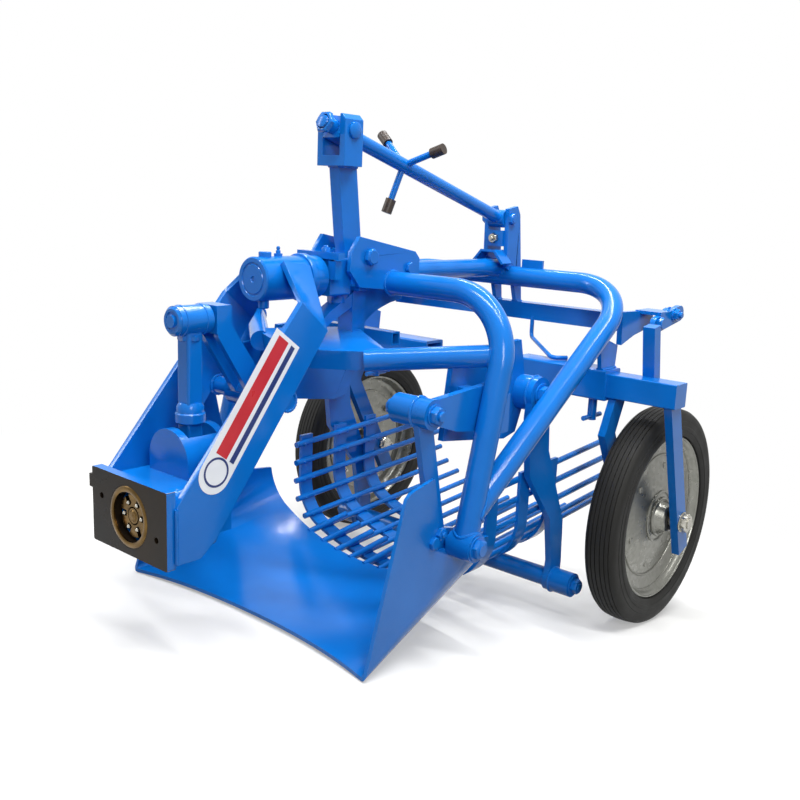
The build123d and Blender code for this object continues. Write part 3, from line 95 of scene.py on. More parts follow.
class Side(Enum):
    """The machine's two sides, by the sign of their X."""

    LEFT = 1
    RIGHT = -1

    @property
    def word(self) -> str:
        """The side's word in node and body names."""
        return self.name.lower()

    @property
    def way(self) -> Vector:
        """The way out from the machine's middle on this side."""
        return Vector((self.value, 0, 0))


# Frame


class Machine:
    """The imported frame, read in the machine's level axes and in millimetres."""

    def __init__(self, frame: dict) -> None:
        """Works out how the machine is parked.
        """
        self.nodes = frame["nodes"]
        joints = {joint["name"]: joint for joint in frame["joints"]}
        along = joints["hitch_swivel"]["axis"]
        axle = joints["left_wheel_spin"]["pos_m"]
        self.pitch = math.atan2(along[2], along[1])
        turned = Matrix.Translation((0, axle[1], axle[2])) @ Matrix.Rotation(self.pitch, 4, "X")
        self.seat = turned @ Matrix.Scale(MM, 4) @ Matrix.Translation((0, 0, -WHEEL_RADIUS))
        self._level = self.seat.inverted()

    def level_face(self, face: bpy.types.MeshPolygon) -> tuple[Vector, Vector]:
        """Middle and normal of a node's face in the level axes.

        Args:
            face: One of the node's polygons.

        Returns:
            The face's middle in millimetres and its unit normal.
        """
        return self._level @ face.center, (self._level.to_3x3() @ face.normal).normalized()

    def box(self, node: str) -> tuple[Vector, Vector]:
        """Lowest and highest corner of a node in the level axes.

        Args:
            node: The node's name.

        Returns:
            The two corners, in millimetres.
        """
        corners = [self._level @ vertex.co for vertex in self.nodes[node].data.vertices]
        low = Vector(min(c[i] for c in corners) for i in range(3))
        high = Vector(max(c[i] for c in corners) for i in range(3))
        return low, high

    def middle(self, node: str) -> Vector:
        """The middle of a node's box in the level axes."""
        low, high = self.box(node)
        return (low + high) / 2


# Finishes


def linear(hex_colour: str) -> tuple[float, float, float, float]:
    """Turns an sRGB hex colour to linear.

    Args:
        hex_colour: Six hex digits after a hash.

    Returns:
        Red, green, blue and an alpha of 1.
    """
    parts = [int(hex_colour[i : i + 2], 16) / 255 for i in (1, 3, 5)]
    return (*(c / 12.92 if c <= 0.04045 else ((c + 0.055) / 1.055) ** 2.4 for c in parts), 1.0)


def per_metre(size_mm: float) -> float:
    """A texture's scale, from the real size of what it repeats in millimetres."""
    return 1 / (size_mm * MM)


def add_node(
    tree: bpy.types.NodeTree, kind: str, settings: dict | None = None, links: dict | None = None
) -> bpy.types.ShaderNode:
    """Adds one shader node with its settings and its incoming links.

    Args:
        tree: The material's node tree.
        kind: The node's type, without its ShaderNode prefix.
        settings: Property names and input names with their values.
        links: Input names with the output sockets that feed them.

    Returns:
        The new node.
    """
    node = tree.nodes.new("ShaderNode" + kind)
    for name, value in (settings or {}).items():
        if isinstance(name, str) and hasattr(node, name):
            setattr(node, name, value)
        else:
            node.inputs[name].default_value = value
    for name, socket in (links or {}).items():
        tree.links.new(socket, node.inputs[name])
    return node


@dataclass(frozen=True)
class Finish:
    """What every finish shares: a principled surface whose colour and roughness vary over the metal.

    Attributes:
        name: The material's name.
        colour: The surface's main colour, sRGB hex.
        worn: The colour that it varies towards.
        metallic: 0 for paint and rubber, 1 for bare metal.
        roughness: The middle roughness.
        spread: How far roughness varies each way.
        patch_mm: Size of the slow patches of variation.
        grain_mm: Size of the fine relief.
        relief_mm: Height of the fine relief.
        share: How far the colour goes towards the worn one.
        specular: Strength of the mirror reflection of paint, rubber and film.
        tone_from: The stretch of its pattern over which the colour changes.
        gloss_from: The stretch of its pattern over which the roughness changes.
    """

    name: str = "surface"
    colour: str = "#808080"
    worn: str = "#707070"
    metallic: float = 0.0
    roughness: float = 0.5
    spread: float = 0.08
    patch_mm: float = 90.0
    grain_mm: float = 3.0
    relief_mm: float = 0.05
    share: float = 0.5
    specular: float = 0.5
    tone_from: tuple[float, float] = (0.3, 0.7)
    gloss_from: tuple[float, float] = (0.3, 0.7)

    def build(self) -> bpy.types.Material:
        """Makes the material once.

        Returns:
            The Blender material.
        """
        made = bpy.data.materials.get(self.name)
        if made:
            return made
        material = bpy.data.materials.new(self.name)
        material.use_nodes = True
        material.diffuse_color = linear(self.colour)
        tree = material.node_tree
        surface = tree.nodes["Principled BSDF"]
        surface.inputs["Metallic"].default_value = self.metallic
        surface.inputs["Specular IOR Level"].default_value = self.specular
        place = add_node(tree, "TexCoord").outputs["Object"]
        tone, gloss = self.sources(tree, place)
        wear = {"From Min": self.tone_from[0], "From Max": self.tone_from[1], "To Max": self.share}
        factor = add_node(tree, "MapRange", wear, {"Value": tone}).outputs["Result"]
        tones = {"data_type": "RGBA", 6: linear(self.colour), 7: linear(self.worn)}
        colour = add_node(tree, "Mix", tones, {0: factor}).outputs[2]
        dull = {"From Min": self.gloss_from[0], "From Max": self.gloss_from[1]}
        dull |= {"To Min": self.roughness - self.spread, "To Max": self.roughness + self.spread}
        rough = add_node(tree, "MapRange", dull, {"Value": gloss}).outputs["Result"]
        fine = {"Scale": per_metre(self.grain_mm), "Detail": GRAIN_DETAIL}
        grain = add_node(tree, "TexNoise", fine, {"Vector": place}).outputs["Fac"]
        relief = {"Distance": self.relief_mm * MM, "Strength": 1.0}
        bump = add_node(tree, "Bump", relief, {"Height": grain}).outputs["Normal"]
        for name, socket in (("Base Color", colour), ("Roughness", rough), ("Normal", bump)):
            tree.links.new(socket, surface.inputs[name])
        return material

    def sources(
        self, tree: bpy.types.NodeTree, place: bpy.types.NodeSocket
    ) -> tuple[bpy.types.NodeSocket, bpy.types.NodeSocket]:
        """What the colour and the roughness vary with: slow patches.

        Args:
            tree: The material's node tree.
            place: The coordinate socket, in metres.

        Returns:
            The socket for the colour and the one for the roughness.
        """
        slow = {"Scale": per_metre(self.patch_mm), "Detail": PATCH_DETAIL}
        patches = add_node(tree, "TexNoise", slow, {"Vector": place}).outputs["Fac"]
        return patches, patches


@dataclass(frozen=True)
class MachineEnamel(Finish):
    """Alkyd machine enamel, sprayed thick over steel: an even blue whose wet gloss ripples a little."""

    name: str = "machine_enamel"
    colour: str = "#0a70c9"
    worn: str = "#0961b2"
    roughness: float = 0.17
    spread: float = 0.04
    grain_mm: float = 6.0  # real orange peel is about 3 mm; drawn coarser so that it shows
    relief_mm: float = 0.09
    specular: float = 0.26


@dataclass(frozen=True)
class GalvanisedSteel(Finish):
    """Hot-dip galvanised pressed steel: grey zinc whose crystals differ a little in tone and gloss.

    Attributes:
        spangle_mm: Size of a zinc crystal.
        spangle_tone: How much the crystals change the tone, next to the slow patches.
    """

    name: str = "galvanised_steel"
    colour: str = "#868680"
    worn: str = "#73736c"
    metallic: float = 0.9
    roughness: float = 0.34
    patch_mm: float = 120.0
    relief_mm: float = 0.012
    share: float = 0.6
    tone_from: tuple[float, float] = (0.35, 0.95)
    gloss_from: tuple[float, float] = (0.0, 1.0)
    spangle_mm: float = 7.0
    spangle_tone: float = 0.35

    def sources(
        self, tree: bpy.types.NodeTree, place: bpy.types.NodeSocket
    ) -> tuple[bpy.types.NodeSocket, bpy.types.NodeSocket]:
        """Adds the zinc's crystals to the slow patches.

        Args:
            tree: The material's node tree.
            place: The coordinate socket, in metres.

        Returns:
            The socket for the colour and the one for the roughness.
        """
        patches, _ = super().sources(tree, place)
        cells = add_node(tree, "TexVoronoi", {"Scale": per_metre(self.spangle_mm)}, {"Vector": place})
        crystal = add_node(tree, "SeparateColor", {}, {"Color": cells.outputs["Color"]}).outputs["Red"]
        added = {"operation": "MULTIPLY_ADD", 1: self.spangle_tone}
        return add_node(tree, "Math", added, {0: crystal, 2: patches}).outputs[0], crystal


@dataclass(frozen=True)
class ZincPlate(Finish):
    """Bright zinc plated fasteners: pale metal, barely warm, that catches small sharp lights."""

    name: str = "zinc_plate"
    colour: str = "#b5b3ab"
    worn: str = "#8d897c"
    metallic: float = 1.0
    roughness: float = 0.26
    patch_mm: float = 12.0


@dataclass(frozen=True)
class OiledCastIron(Finish):
    """Milled cast iron left bare under brown preserving oil: near black, with the dark gloss of the film.

    The film is what shows, so the surface isn't treated as metal.
    """

    name: str = "oiled_cast_iron"
    colour: str = "#0e0c0b"
    worn: str = "#33271a"
    specular: float = 0.12
    roughness: float = 0.3
    patch_mm: float = 55.0
    grain_mm: float = 1.2  # real milling marks are about 0.3 mm; drawn coarser so that they show
    share: float = 0.6


@dataclass(frozen=True)
class TurnedSteel(Finish):
    """Steel turned on a lathe and oiled: it shows a dark gold through the film."""

    name: str = "turned_steel"
    colour: str = "#6f5730"
    worn: str = "#2b2115"
    metallic: float = 1.0
    roughness: float = 0.25
    patch_mm: float = 14.0


@dataclass(frozen=True)
class SolidRubber(Finish):
    """Black solid tyre rubber, moulded: dull, with a little grey bloom."""

    name: str = "solid_rubber"
    colour: str = "#131312"
    worn: str = "#23221f"
    specular: float = 0.25
    roughness: float = 0.62
    patch_mm: float = 40.0
    grain_mm: float = 1.5  # a mould's real grain is about 0.5 mm; drawn coarser so that it shows
    relief_mm: float = 0.12


@dataclass(frozen=True)
class MouldedCap(Finish):
    """Brown plastic end caps, injection moulded: dark and half dull."""

    name: str = "moulded_cap"
    colour: str = "#1e1511"
    worn: str = "#43301d"
    roughness: float = 0.4
    patch_mm: float = 10.0


@dataclass(frozen=True)
class PrintedVinyl(Finish):
    """Self-adhesive vinyl with a screen-printed colour: flat, smooth and a little glossy."""

    name: str = "label_white"
    colour: str = "#eef0f2"
    worn: str = "#e0e3e8"
    roughness: float = 0.35
    patch_mm: float = 30.0
    grain_mm: float = 6.0
    relief_mm: float = 0.02


ENAMEL = MachineEnamel()
GALVANISED = GalvanisedSteel()
ZINC = ZincPlate()
IRON = OiledCastIron()
TURNED = TurnedSteel()
RUBBER = SolidRubber()
CAP = MouldedCap()
LABEL_WHITE = PrintedVinyl()
LABEL_RED = PrintedVinyl("label_red", "#c8242c", "#b31d26")
LABEL_NAVY = PrintedVinyl("label_navy", "#20336f", "#1a2a60")
SLOTS = {
    ENAMEL.name: "blue_paint",
    ZINC.name: "zinc_steel",
    TURNED.name: "bright_steel",
    IRON.name: "blacked_steel",
    GALVANISED.name: "galvanised_rim",
    RUBBER.name: "tyre_rubber",
}


# Shapes


def stand(at: Sequence[float], way: Sequence[float]) -> Matrix:
    """The place of a part whose Z axis starts at a point and runs a way.

    Args:
        at: The point.
        way: The way.

    Returns:
        The place.
    """
    return Matrix.Translation(at) @ Vector(way).to_track_quat("Z", "Y").to_matrix().to_4x4()


def even_turns(count: int, first: float = 0.0) -> list[float]:
    """Even turns round a circle, in radians.

    Args:
        count: How many there are.
        first: Where the first one stands, in shares of the step between them.

    Returns:
        The turns.
    """
    return [2 * math.pi * (n + first) / count for n in range(count)]


def round_row(
    mesh: bmesh.types.BMesh, place: Matrix, radius: float, height: float, steps: int
) -> list[bmesh.types.BMVert]:
    """Adds a ring of vertices about a place's Z axis.

    Args:
        mesh: Where the vertices go.
        place: Where the axis stands.
        radius: The ring's radius.
        height: Its height on the axis.
        steps: How many vertices it has.

    Returns:
        The vertices in their order.
    """
    spots = (Vector((radius * math.cos(t), radius * math.sin(t), height)) for t in even_turns(steps))
    return [mesh.verts.new(place @ spot) for spot in spots]


def skin(mesh: bmesh.types.BMesh, low: list[bmesh.types.BMVert], high: list[bmesh.types.BMVert]) -> None:
    """Joins two rings of vertices with faces.

    Args:
        mesh: Where the faces go.
        low: The first ring, or a single vertex on the axis.
        high: The second one, likewise.
    """
    steps = max(len(low), len(high))
    for n in range(steps):
        m = (n + 1) % steps
        corners = [low[n % len(low)], low[m % len(low)], high[m % len(high)], high[n % len(high)]]
        unique = list(dict.fromkeys(corners))
        if len(unique) > 2:
            mesh.faces.new(unique)


def lathe(mesh: bmesh.types.BMesh, profile: Profile, place: Matrix, steps: int) -> None:
    """Turns a closed or open profile about its Z axis.

    Args:
        mesh: Where the faces go.
        profile: Radius and height of each point.
        place: Where the axis stands.
        steps: How many steps make the round.
    """
    rings = []
    for radius, height in profile:
        if radius < ON_AXIS:
            rings.append([mesh.verts.new(place @ Vector((0, 0, height)))])
        else:
            rings.append(round_row(mesh, place, radius, height, steps))
    for low, high in zip(rings, rings[1:]):
        skin(mesh, low, high)


def turn_frame(way: Vector) -> tuple[Vector, Vector]:
    """Two directions square to a way and to each other.

    Args:
        way: The way, of length 1.

    Returns:
        The two directions.
    """
    first = way.orthogonal().normalized()
    return first, way.cross(first).normalized()


def hexagon(
    mesh: bmesh.types.BMesh, place: Matrix, across: float, height: float, bore: float = 0.0
) -> None:
    """Adds a hexagon head or nut with a turned chamfer, standing on its place's Z axis.

    Args:
        mesh: Where the faces go.
        place: Where the axis stands.
        across: Size across the flats.
        height: Its height.
        bore: Diameter of a clear bore through it, or 0.
    """
    flat = across / 2
    rings = []
    for level, round_at in ((0.0, 0.0), (height * CHAMFER_START, 0.0), (height, flat * CHAMFER_TOP)):
        ring = []
        for turn in even_turns(HEXAGON_STEPS):
            corner = flat / math.cos(turn % (math.pi / 3) - math.pi / 6)
            reach = round_at or corner
            spot = Vector((reach * math.cos(turn), reach * math.sin(turn), level))
            ring.append(mesh.verts.new(place @ spot))
        rings.append(ring)
    for low, high in zip(rings, rings[1:]):
        skin(mesh, low, high)
    if not bore:
        mesh.faces.new(rings[0][::-1])
        mesh.faces.new(rings[-1])
        return
    foot, top = (round_row(mesh, place, bore / 2, level, HEXAGON_STEPS) for level in (0.0, height))
    for low, high in ((foot, rings[0]), (rings[-1], top), (top, foot)):
        skin(mesh, low, high)


def disc(
    mesh: bmesh.types.BMesh, place: Matrix, diameter: float, height: float, edge: float = 0.6
) -> None:
    """Adds a washer, collar or pin end with a broken edge.

    Args:
        mesh: Where the faces go.
        place: Where the axis stands.
        diameter: Its diameter.
        height: Its height.
        edge: Width of the broken edge.
    """
    radius = diameter / 2
    profile = [(0.0, 0.0), (radius, 0.0), (radius, height - edge), (radius - edge, height), (0.0, height)]
    lathe(mesh, profile, place, DISC_STEPS)


def slab(mesh: bmesh.types.BMesh, low: Point, high: Point) -> None:
    """Adds a plain rectangular piece between two corners.

    Args:
        mesh: Where the faces go.
        low: Its lowest corner.
        high: Its highest corner.
    """
    low, high = Vector(low), Vector(high)
    place = Matrix.Translation((low + high) / 2) @ Matrix.Diagonal((*(high - low), 1.0))
    bmesh.ops.create_cube(mesh, size=1.0, matrix=place)


def tube(
    mesh: bmesh.types.BMesh, points: Sequence[Vector], radii: Sequence[float], closed: bool = False
) -> None:
    """Adds a round tube along points, with a radius for each.

    Args:
        mesh: Where the faces go.
        points: The middle line.
        radii: The radius at each point.
        closed: Whether the last point joins the first.
    """
    rings = []
    count = len(points)
    side = None
    for index, (point, radius) in enumerate(zip(points, radii)):
        before = points[index - 1] if closed or index else point
        after = points[(index + 1) % count] if closed or index < count - 1 else point
        way = (after - before).normalized()
        if side is None:
            side = way.orthogonal().normalized()
        side = (side - way * side.dot(way)).normalized()
        spots = ring_points(point, (side, way.cross(side)), radius, TUBE_STEPS)
        rings.append([mesh.verts.new(spot) for spot in spots])
    pairs = list(zip(rings, rings[1:])) + ([(rings[-1], rings[0])] if closed else [])
    for low, high in pairs:
        skin(mesh, low, high)
    if not closed:
        mesh.faces.new(rings[0][::-1])
        mesh.faces.new(rings[-1])


def ripple(points: Sequence[Vector], radius: float, pitch: float = 4.0) -> list[float]:
    """Radii of a weld bead, which swell once for each drop of metal.

    Args:
        points: The bead's middle line.
        radius: Its middle radius.
        pitch: Distance between drops.

    Returns:
        The radius at each point.
    """
    radii, run = [], 0.0
    for before, point in zip([points[0], *points], points):
        run += (point - before).length
        swell = DROP_SWELL * math.cos(2 * math.pi * run / pitch) + SLOW_SWELL * math.sin(run * SLOW_TURN)
        radii.append(radius * (1 + swell))
    return radii


def ring_points(middle: Vector, spans: tuple[Vector, Vector], radius: float, count: int) -> list[Vector]:
    """A number of points on a circle.

    Args:
        middle: Its middle.
        spans: Two directions of length 1 that it lies in, square to each other.
        radius: Its radius.
        count: How many points.

    Returns:
        The points.
    """
    first, second = spans
    return [middle + radius * (math.cos(t) * first + math.sin(t) * second) for t in even_turns(count)]


def circle(middle: Vector, way: Vector, radius: float, step: float = TUBE_STEP) -> list[Vector]:
    """Points on a circle square to a way.

    Args:
        middle: Its middle.
        way: The way that it faces.
        radius: Its radius.
        step: Distance between points.

    Returns:
        The points.
    """
    count = max(FEWEST_ROUND, round(2 * math.pi * radius / step))
    return ring_points(middle, turn_frame(way.normalized()), radius, count)


def saddle(
    start: Vector, end: Vector, radius: float, onto: Vector, onto_way: Vector, onto_radius: float
) -> list[Vector]:
    """The line in which a tube's end meets the side of another tube.

    Args:
        start: A point on the tube's axis, well away from the other.
        end: Where its axis is headed, inside the other tube.
        radius: The tube's radius.
        onto: A point on the other tube's axis.
        onto_way: The way of that axis.
        onto_radius: The other tube's radius.

    Returns:
        The points of the line.
    """
    way = (end - start).normalized()
    axis = onto_way.normalized()
    points = []
    count = max(FEWEST_SADDLE, round(2 * math.pi * radius / TUBE_STEP))
    for spot in ring_points(start, turn_frame(way), radius, count):
        foot = spot - onto
        flat_way, flat_foot = way - axis * way.dot(axis), foot - axis * foot.dot(axis)
        a, b = flat_way.dot(flat_way), 2 * flat_way.dot(flat_foot)
        c = flat_foot.dot(flat_foot) - onto_radius**2
        reach = (-b - math.sqrt(max(b * b - 4 * a * c, 0.0))) / (2 * a)
        points.append(foot + onto + way * reach)
    return points


def straight(start: Vector, end: Vector, step: float = TUBE_STEP) -> list[Vector]:
    """Points along a straight line.

    Args:
        start: Its first point.
        end: Its last point.
        step: Distance between points.

    Returns:
        The points.
    """
    count = max(FEWEST_STRAIGHT, round((end - start).length / step))
    return [start.lerp(end, n / count) for n in range(count + 1)]


class Workshop:
    """Finishes meshes and hands them over as pieces that ride on the frame's bodies."""

    def __init__(self, machine: Machine) -> None:
        """Keeps the machine that the pieces go on."""
        self.machine = machine

    def piece(
        self, name: str, mesh: bmesh.types.BMesh, finish: Finish, body: str, slot: str, sharp: float = 35.0
    ) -> bpy.types.Object:
        """Makes an object of a mesh drawn in millimetres.

        Args:
            name: The piece's name.
            mesh: Its faces, in the level axes.
            finish: Its finish.
            body: The body that it rides on.
            slot: The record's material slot. It is not used.
            sharp: The angle in degrees from which an edge is sharp.

        Returns:
            The new object.
        """
        bmesh.ops.recalc_face_normals(mesh, faces=mesh.faces)
        mesh.transform(self.machine.seat)
        data = bpy.data.meshes.new(name)
        mesh.to_mesh(data)
        mesh.free()
        data.materials.append(finish.build())
        data.shade_smooth()
        data.set_sharp_from_angle(angle=math.radians(sharp))
        thing = bpy.data.objects.new(name, data)
        bpy.context.scene.collection.objects.link(thing)
        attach(thing, body)
        log.info("%s on %s, %d faces", name, body, len(data.polygons))
        return thing

    def dress_node(self, node: str, finish: Finish, edge_mm: float = 0.8) -> None:
        """Gives a CAD node its finish and breaks its sharp edges.

        Args:
            node: The node's name.
            finish: Its finish.
            edge_mm: The width of the broken edges, or 0 for none.
        """
        thing = self.machine.nodes[node]
        thing.data.materials.clear()
        thing.data.materials.append(finish.build())
        weld = thing.modifiers.new("join", "WELD")
        weld.merge_threshold = MERGE * MM
        if edge_mm:
            edge = thing.modifiers.new("edges", "BEVEL")
            edge.width = edge_mm * MM
            edge.segments = 2
            edge.limit_method = "ANGLE"
            edge.angle_limit = math.radians(EDGE_ANGLE)
        thing.data.shade_smooth()
        smooth = thing.modifiers.new("shading", "WEIGHTED_NORMAL")
        smooth.keep_sharp = True
        log.info("%s dressed in %s", node, finish.name)


# Sub-assemblies


@dataclass
class Wheels:
    """The two wheels: ribbed solid tyres on pressed galvanised rims.

    Attributes:
        shop: Where the pieces are finished.
        outer: The tyre's outer radius.
        seat: The radius of the rim that the tyre sits on.
        half_width: Half the tyre's width.
        sidewall: Points from the rim out to the shoulder, as height over the seat and depth from the side.
        groove_at: Distances of the tread's grooves from its middle.
        groove: Width and depth of a groove.
        groove_wall: How far each wall of a groove leans.
        crown: How fast the tread falls away from its middle, per square millimetre.
        steps: How many steps make the round.
    """

    shop: Workshop
    outer: float = WHEEL_RADIUS
    seat: float = 151.0
    half_width: float = 31.0
    sidewall: Profile = (
        (0, 9), (1, 4), (5, 2.2), (11, 1.2), (12, 0.2), (15, 0), (18, 0.2), (19, 1.2), (27, 1.0), (28, 2.0),
        (33, 1.6), (40, 3.0), (44, 5.0),
    )
    groove_at: tuple[float, ...] = (4.5, 12.5, 20.0)
    groove: tuple[float, float] = (1.9, 1.5)
    groove_wall: float = 0.5
    crown: float = 0.004
    steps: int = 144

    def tyre_profile(self) -> list[tuple[float, float]]:
        """Half of the tyre's section, from the rim seat out to the middle of its tread.

        Returns:
            Radius and distance from the middle plane of each point.
        """
        points = [(self.seat + height, self.half_width - inward) for height, inward in self.sidewall]
        width, depth = self.groove
        top, foot = width / 2, width / 2 - self.groove_wall
        for middle in sorted(self.groove_at, reverse=True):
            for offset, sunk in ((top, 0), (foot, depth), (-foot, depth), (-top, 0)):
                distance = middle + offset
                points.append((self.outer - self.crown * distance**2 - sunk, distance))
        points.append((self.outer, 0.0))
        return points

    def build(self) -> None:
        """Makes both tyres and dresses both rims."""
        for side in Side:
            place = stand(self.shop.machine.middle(f"tyre_{side.word}"), side.way)
            half = self.tyre_profile()
            whole = half + [(radius, -distance) for radius, distance in reversed(half[:-1])]
            mesh = bmesh.new()
            lathe(mesh, whole + whole[:1], place, self.steps)
            bmesh.ops.remove_doubles(mesh, verts=mesh.verts, dist=MERGE)
            body = f"{side.word}_wheel"
            tyre = self.shop.piece(f"ribbed_tyre_{side.word}", mesh, RUBBER, body, "tyre_rubber")
            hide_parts(f"tyre_{side.word}")
            self.shop.dress_node(f"rim_{side.word}", GALVANISED, 0)


class Batches:
    """Meshes of small like pieces, one for each body, finish and kind."""

    def __init__(self, shop: Workshop) -> None:
        """Starts with none."""
        self.shop = shop
        self.meshes: dict[tuple[str, str, Finish], bmesh.types.BMesh] = {}

    def of(self, kind: str, body: str, finish: Finish) -> bmesh.types.BMesh:
        """The mesh that pieces of a kind on a body go into.

        Args:
            kind: What the pieces are.
            body: The body that they ride on.
            finish: Their finish.

        Returns:
            The mesh.
        """
        return self.meshes.setdefault((kind, body, finish), bmesh.new())

    def build(self) -> None:
        """Hands every mesh over as a piece."""
        for (kind, body, finish), mesh in self.meshes.items():
            name = f"{body}_{kind}_{finish.name}"
            self.shop.piece(name, mesh, finish, body, SLOTS[finish.name], BATCH_SHARP)


@dataclass
class Trim:
    """What every class of small like pieces shares.

    Attributes:
        shop: Where the pieces are finished.
        batches: Where like pieces gather.
    """

    shop: Workshop
    batches: Batches

    def mirrored(self, point: Point, side: Side) -> Vector:
        """A left side's point or direction on either side."""
        return Vector((point[0] * side.value, point[1], point[2]))

    def standing(self, rows: Sequence[Fastener | Weld], side: Side) -> list[Fastener | Weld]:
        """The rows that stand on a side: all on the left, and the paired ones on the right."""
        return [row for row in rows if row.paired or side is Side.LEFT]


@dataclass(frozen=True)
class PinEnd:
    """A nut or a bolt head on one end of a CAD pin that lies crosswise.

    Attributes:
        pin: The node, with a brace pair where its side goes.
        body: The body, likewise.
        outer: Whether it is the end away from the machine's middle.
        across: Size across the flats.
        height: The hexagon's height.
        proud: How far the pin stands out of it.
        washer: The washer's diameter, or 0.
        washer_height: The washer's thickness.
        finish: Its finish.
    """

    pin: str
    body: str
    outer: bool
    across: float
    height: float
    proud: float
    washer: float
    washer_height: float
    finish: Finish


@dataclass(frozen=True)
class Fastener:
    """A bolt head or nut on the machine, with its thread end.

    Attributes:
        at: Where its bearing face stands.
        way: The way that it stands out.
        across: Size across the flats.
        height: The hexagon's height.
        washer: The washer's diameter, or 0.
        tail: Diameter of the thread end, or 0.
        tail_length: How far the thread end stands out.
        body: The body, with a brace pair where its side goes.
        paired: Whether the other side has one too.
        finish: Its finish.
    """

    at: Point
    way: Point
    across: float
    height: float
    washer: float
    tail: float
    tail_length: float
    body: str
    paired: bool
    finish: Finish


@dataclass
class Fasteners(Trim):
    """Every nut, bolt head and washer on the machine.

    Attributes:
        washer_height: Thickness of a washer.
        tail_edge: Width of a thread end's chamfer.
        spin_rate: Degrees that a hexagon turns for each millimetre of its place, so that no two line up.
        pin_ends: Nuts and heads of the CAD pins on both sides.
        middle_pins: Those of the two pins that cross the middle.
        fasteners: The others.
    """

    washer_height: float = 2.5
    tail_edge: float = 1.2
    spin_rate: float = 7.0
    pin_ends: tuple[PinEnd, ...] = (
        PinEnd("foot_pin_{}", "frame", True, 27, 8, 1.5, 38, 2.4, ENAMEL),
        PinEnd("foot_pin_{}", "frame", False, 27, 6.6, 1.2, 0, 0, ENAMEL),
        PinEnd("pivot_bolt_{}", "frame", True, 27, 9, 2.2, 40, 2.4, ENAMEL),
        PinEnd("pivot_bolt_{}", "frame", False, 27, 9.6, 2.2, 0, 0, ENAMEL),
        PinEnd("axle_{}", "{}_wheel_bar", True, 30, 11, 1.5, 37, 2.3, ZINC),
        PinEnd("axle_{}", "{}_wheel_bar", False, 30, 8.5, 1.3, 0, 0, ZINC),
    )
    middle_pins: tuple[PinEnd, ...] = (
        PinEnd("head_pin", "frame", True, 24, 8, 0.9, 0, 0, ENAMEL),
        PinEnd("lug_pin", "frame", True, 19, 6.8, 1.0, 0, 0, ENAMEL),
    )
    fasteners: tuple[Fastener, ...] = (
        Fastener((205, -550, 452), (-1, 0, 0), 24, 11, 34, 15, 16, "frame", True, ENAMEL),
        Fastener((272.2, -550, 452), (1, 0, 0), 24, 10, 32, 15, 14, "frame", True, ENAMEL),
        Fastener((285.2, -136, 77.3), (1, 0, 0), 24, 10, 38, 14, 12, "sieve", True, ENAMEL),
        Fastener((268.6, -534, 258), (1, 0, 0), 17, 7, 0, 0, 0, "frame", True, ENAMEL),
        Fastener((267.9, -517, 268), (1, 0, 0), 17, 7, 0, 9, 10, "frame", True, ENAMEL),
        Fastener((0, -41, 680), (0, -1, 0), 17, 8, 0, 10, 13, "frame", False, ZINC),
        Fastener((336.5, 62, 561), (1, 0, 0), 19, 8, 26, 12, 13, "frame", True, ENAMEL),
        Fastener((326.3, 62, 561), (-1, 0, 0), 19, 9, 26, 0, 0, "frame", True, ENAMEL),
        Fastener((336.5, 4, 549), (1, 0, 0), 19, 8, 0, 0, 0, "frame", True, ENAMEL),
        Fastener((16, -515, 661), (0, 0, 1), 13, 7, 0, 8, 10, "hitch_head", False, ENAMEL),
        Fastener((0, -470, 592.8), (0, 0, -1), 30, 16, 0, 18, 21, "hitch_head", False, ENAMEL),
        Fastener((0, -762, 549.2), (0, 0, -1), 30, 8, 0, 0, 0, "con_rod", False, ENAMEL),
        Fastener((45.2, -348, 634), (1, 0, 0), 17, 6, 0, 0, 0, "frame", True, ENAMEL),
    )

    def hexagon_at(
        self, body: str, finish: Finish, at: Vector, way: Vector, across: float, height: float
    ) -> None:
        """Adds one hexagon that stands out from a face.

        Args:
            body: The body that it rides on.
            finish: Its finish.
            at: The middle of its bearing face.
            way: The way that it stands out.
            across: Size across the flats.
            height: Its height.
        """
        turn = Matrix.Rotation(math.radians(self.spin_rate * (at.y + at.z) % HEXAGON_TURN), 4, "Z")
        hexagon(self.batches.of("nuts", body, finish), stand(at, way) @ turn, across, height)

    def pin_end(self, row: PinEnd, side: Side) -> None:
        """Adds the hexagon and washer of one pin's end.

        Args:
            row: The pin's row.
            side: Which side's end it is.
        """
        low, high = self.shop.machine.box(row.pin.format(side.word))
        middle = (low + high) / 2
        away = side.value if row.outer else -side.value
        end = high.x if away > 0 else low.x
        body, way = row.body.format(side.word), Vector((away, 0, 0))
        seat = Vector((end, middle.y, middle.z)) - way * (row.proud + row.height)
        self.hexagon_at(body, row.finish, seat, way, row.across, row.height)
        if row.washer:
            place = stand(seat - way * row.washer_height, way)
            disc(self.batches.of("washers", body, row.finish), place, row.washer, row.washer_height)

    def fastener(self, row: Fastener, side: Side) -> None:
        """Adds one bolt head or nut with its washer and thread end.

        Args:
            row: Its row.
            side: Which side it stands on.
        """
        at, way = self.mirrored(row.at, side), self.mirrored(row.way, side)
        body = row.body.format(side.word)
        if row.washer:
            washers = self.batches.of("washers", body, row.finish)
            disc(washers, stand(at, way), row.washer, self.washer_height)
            at = at + way * self.washer_height
        self.hexagon_at(body, row.finish, at, way, row.across, row.height)
        if row.tail:
            thread = self.batches.of("thread_ends", body, row.finish)
            disc(thread, stand(at, way), row.tail, row.tail_length, self.tail_edge)

    def build(self) -> None:
        """Adds them all."""
        for side in Side:
            for row in self.pin_ends + self.middle_pins:
                self.pin_end(row, side)
            for row in self.standing(self.fasteners, side):
                self.fastener(row, side)


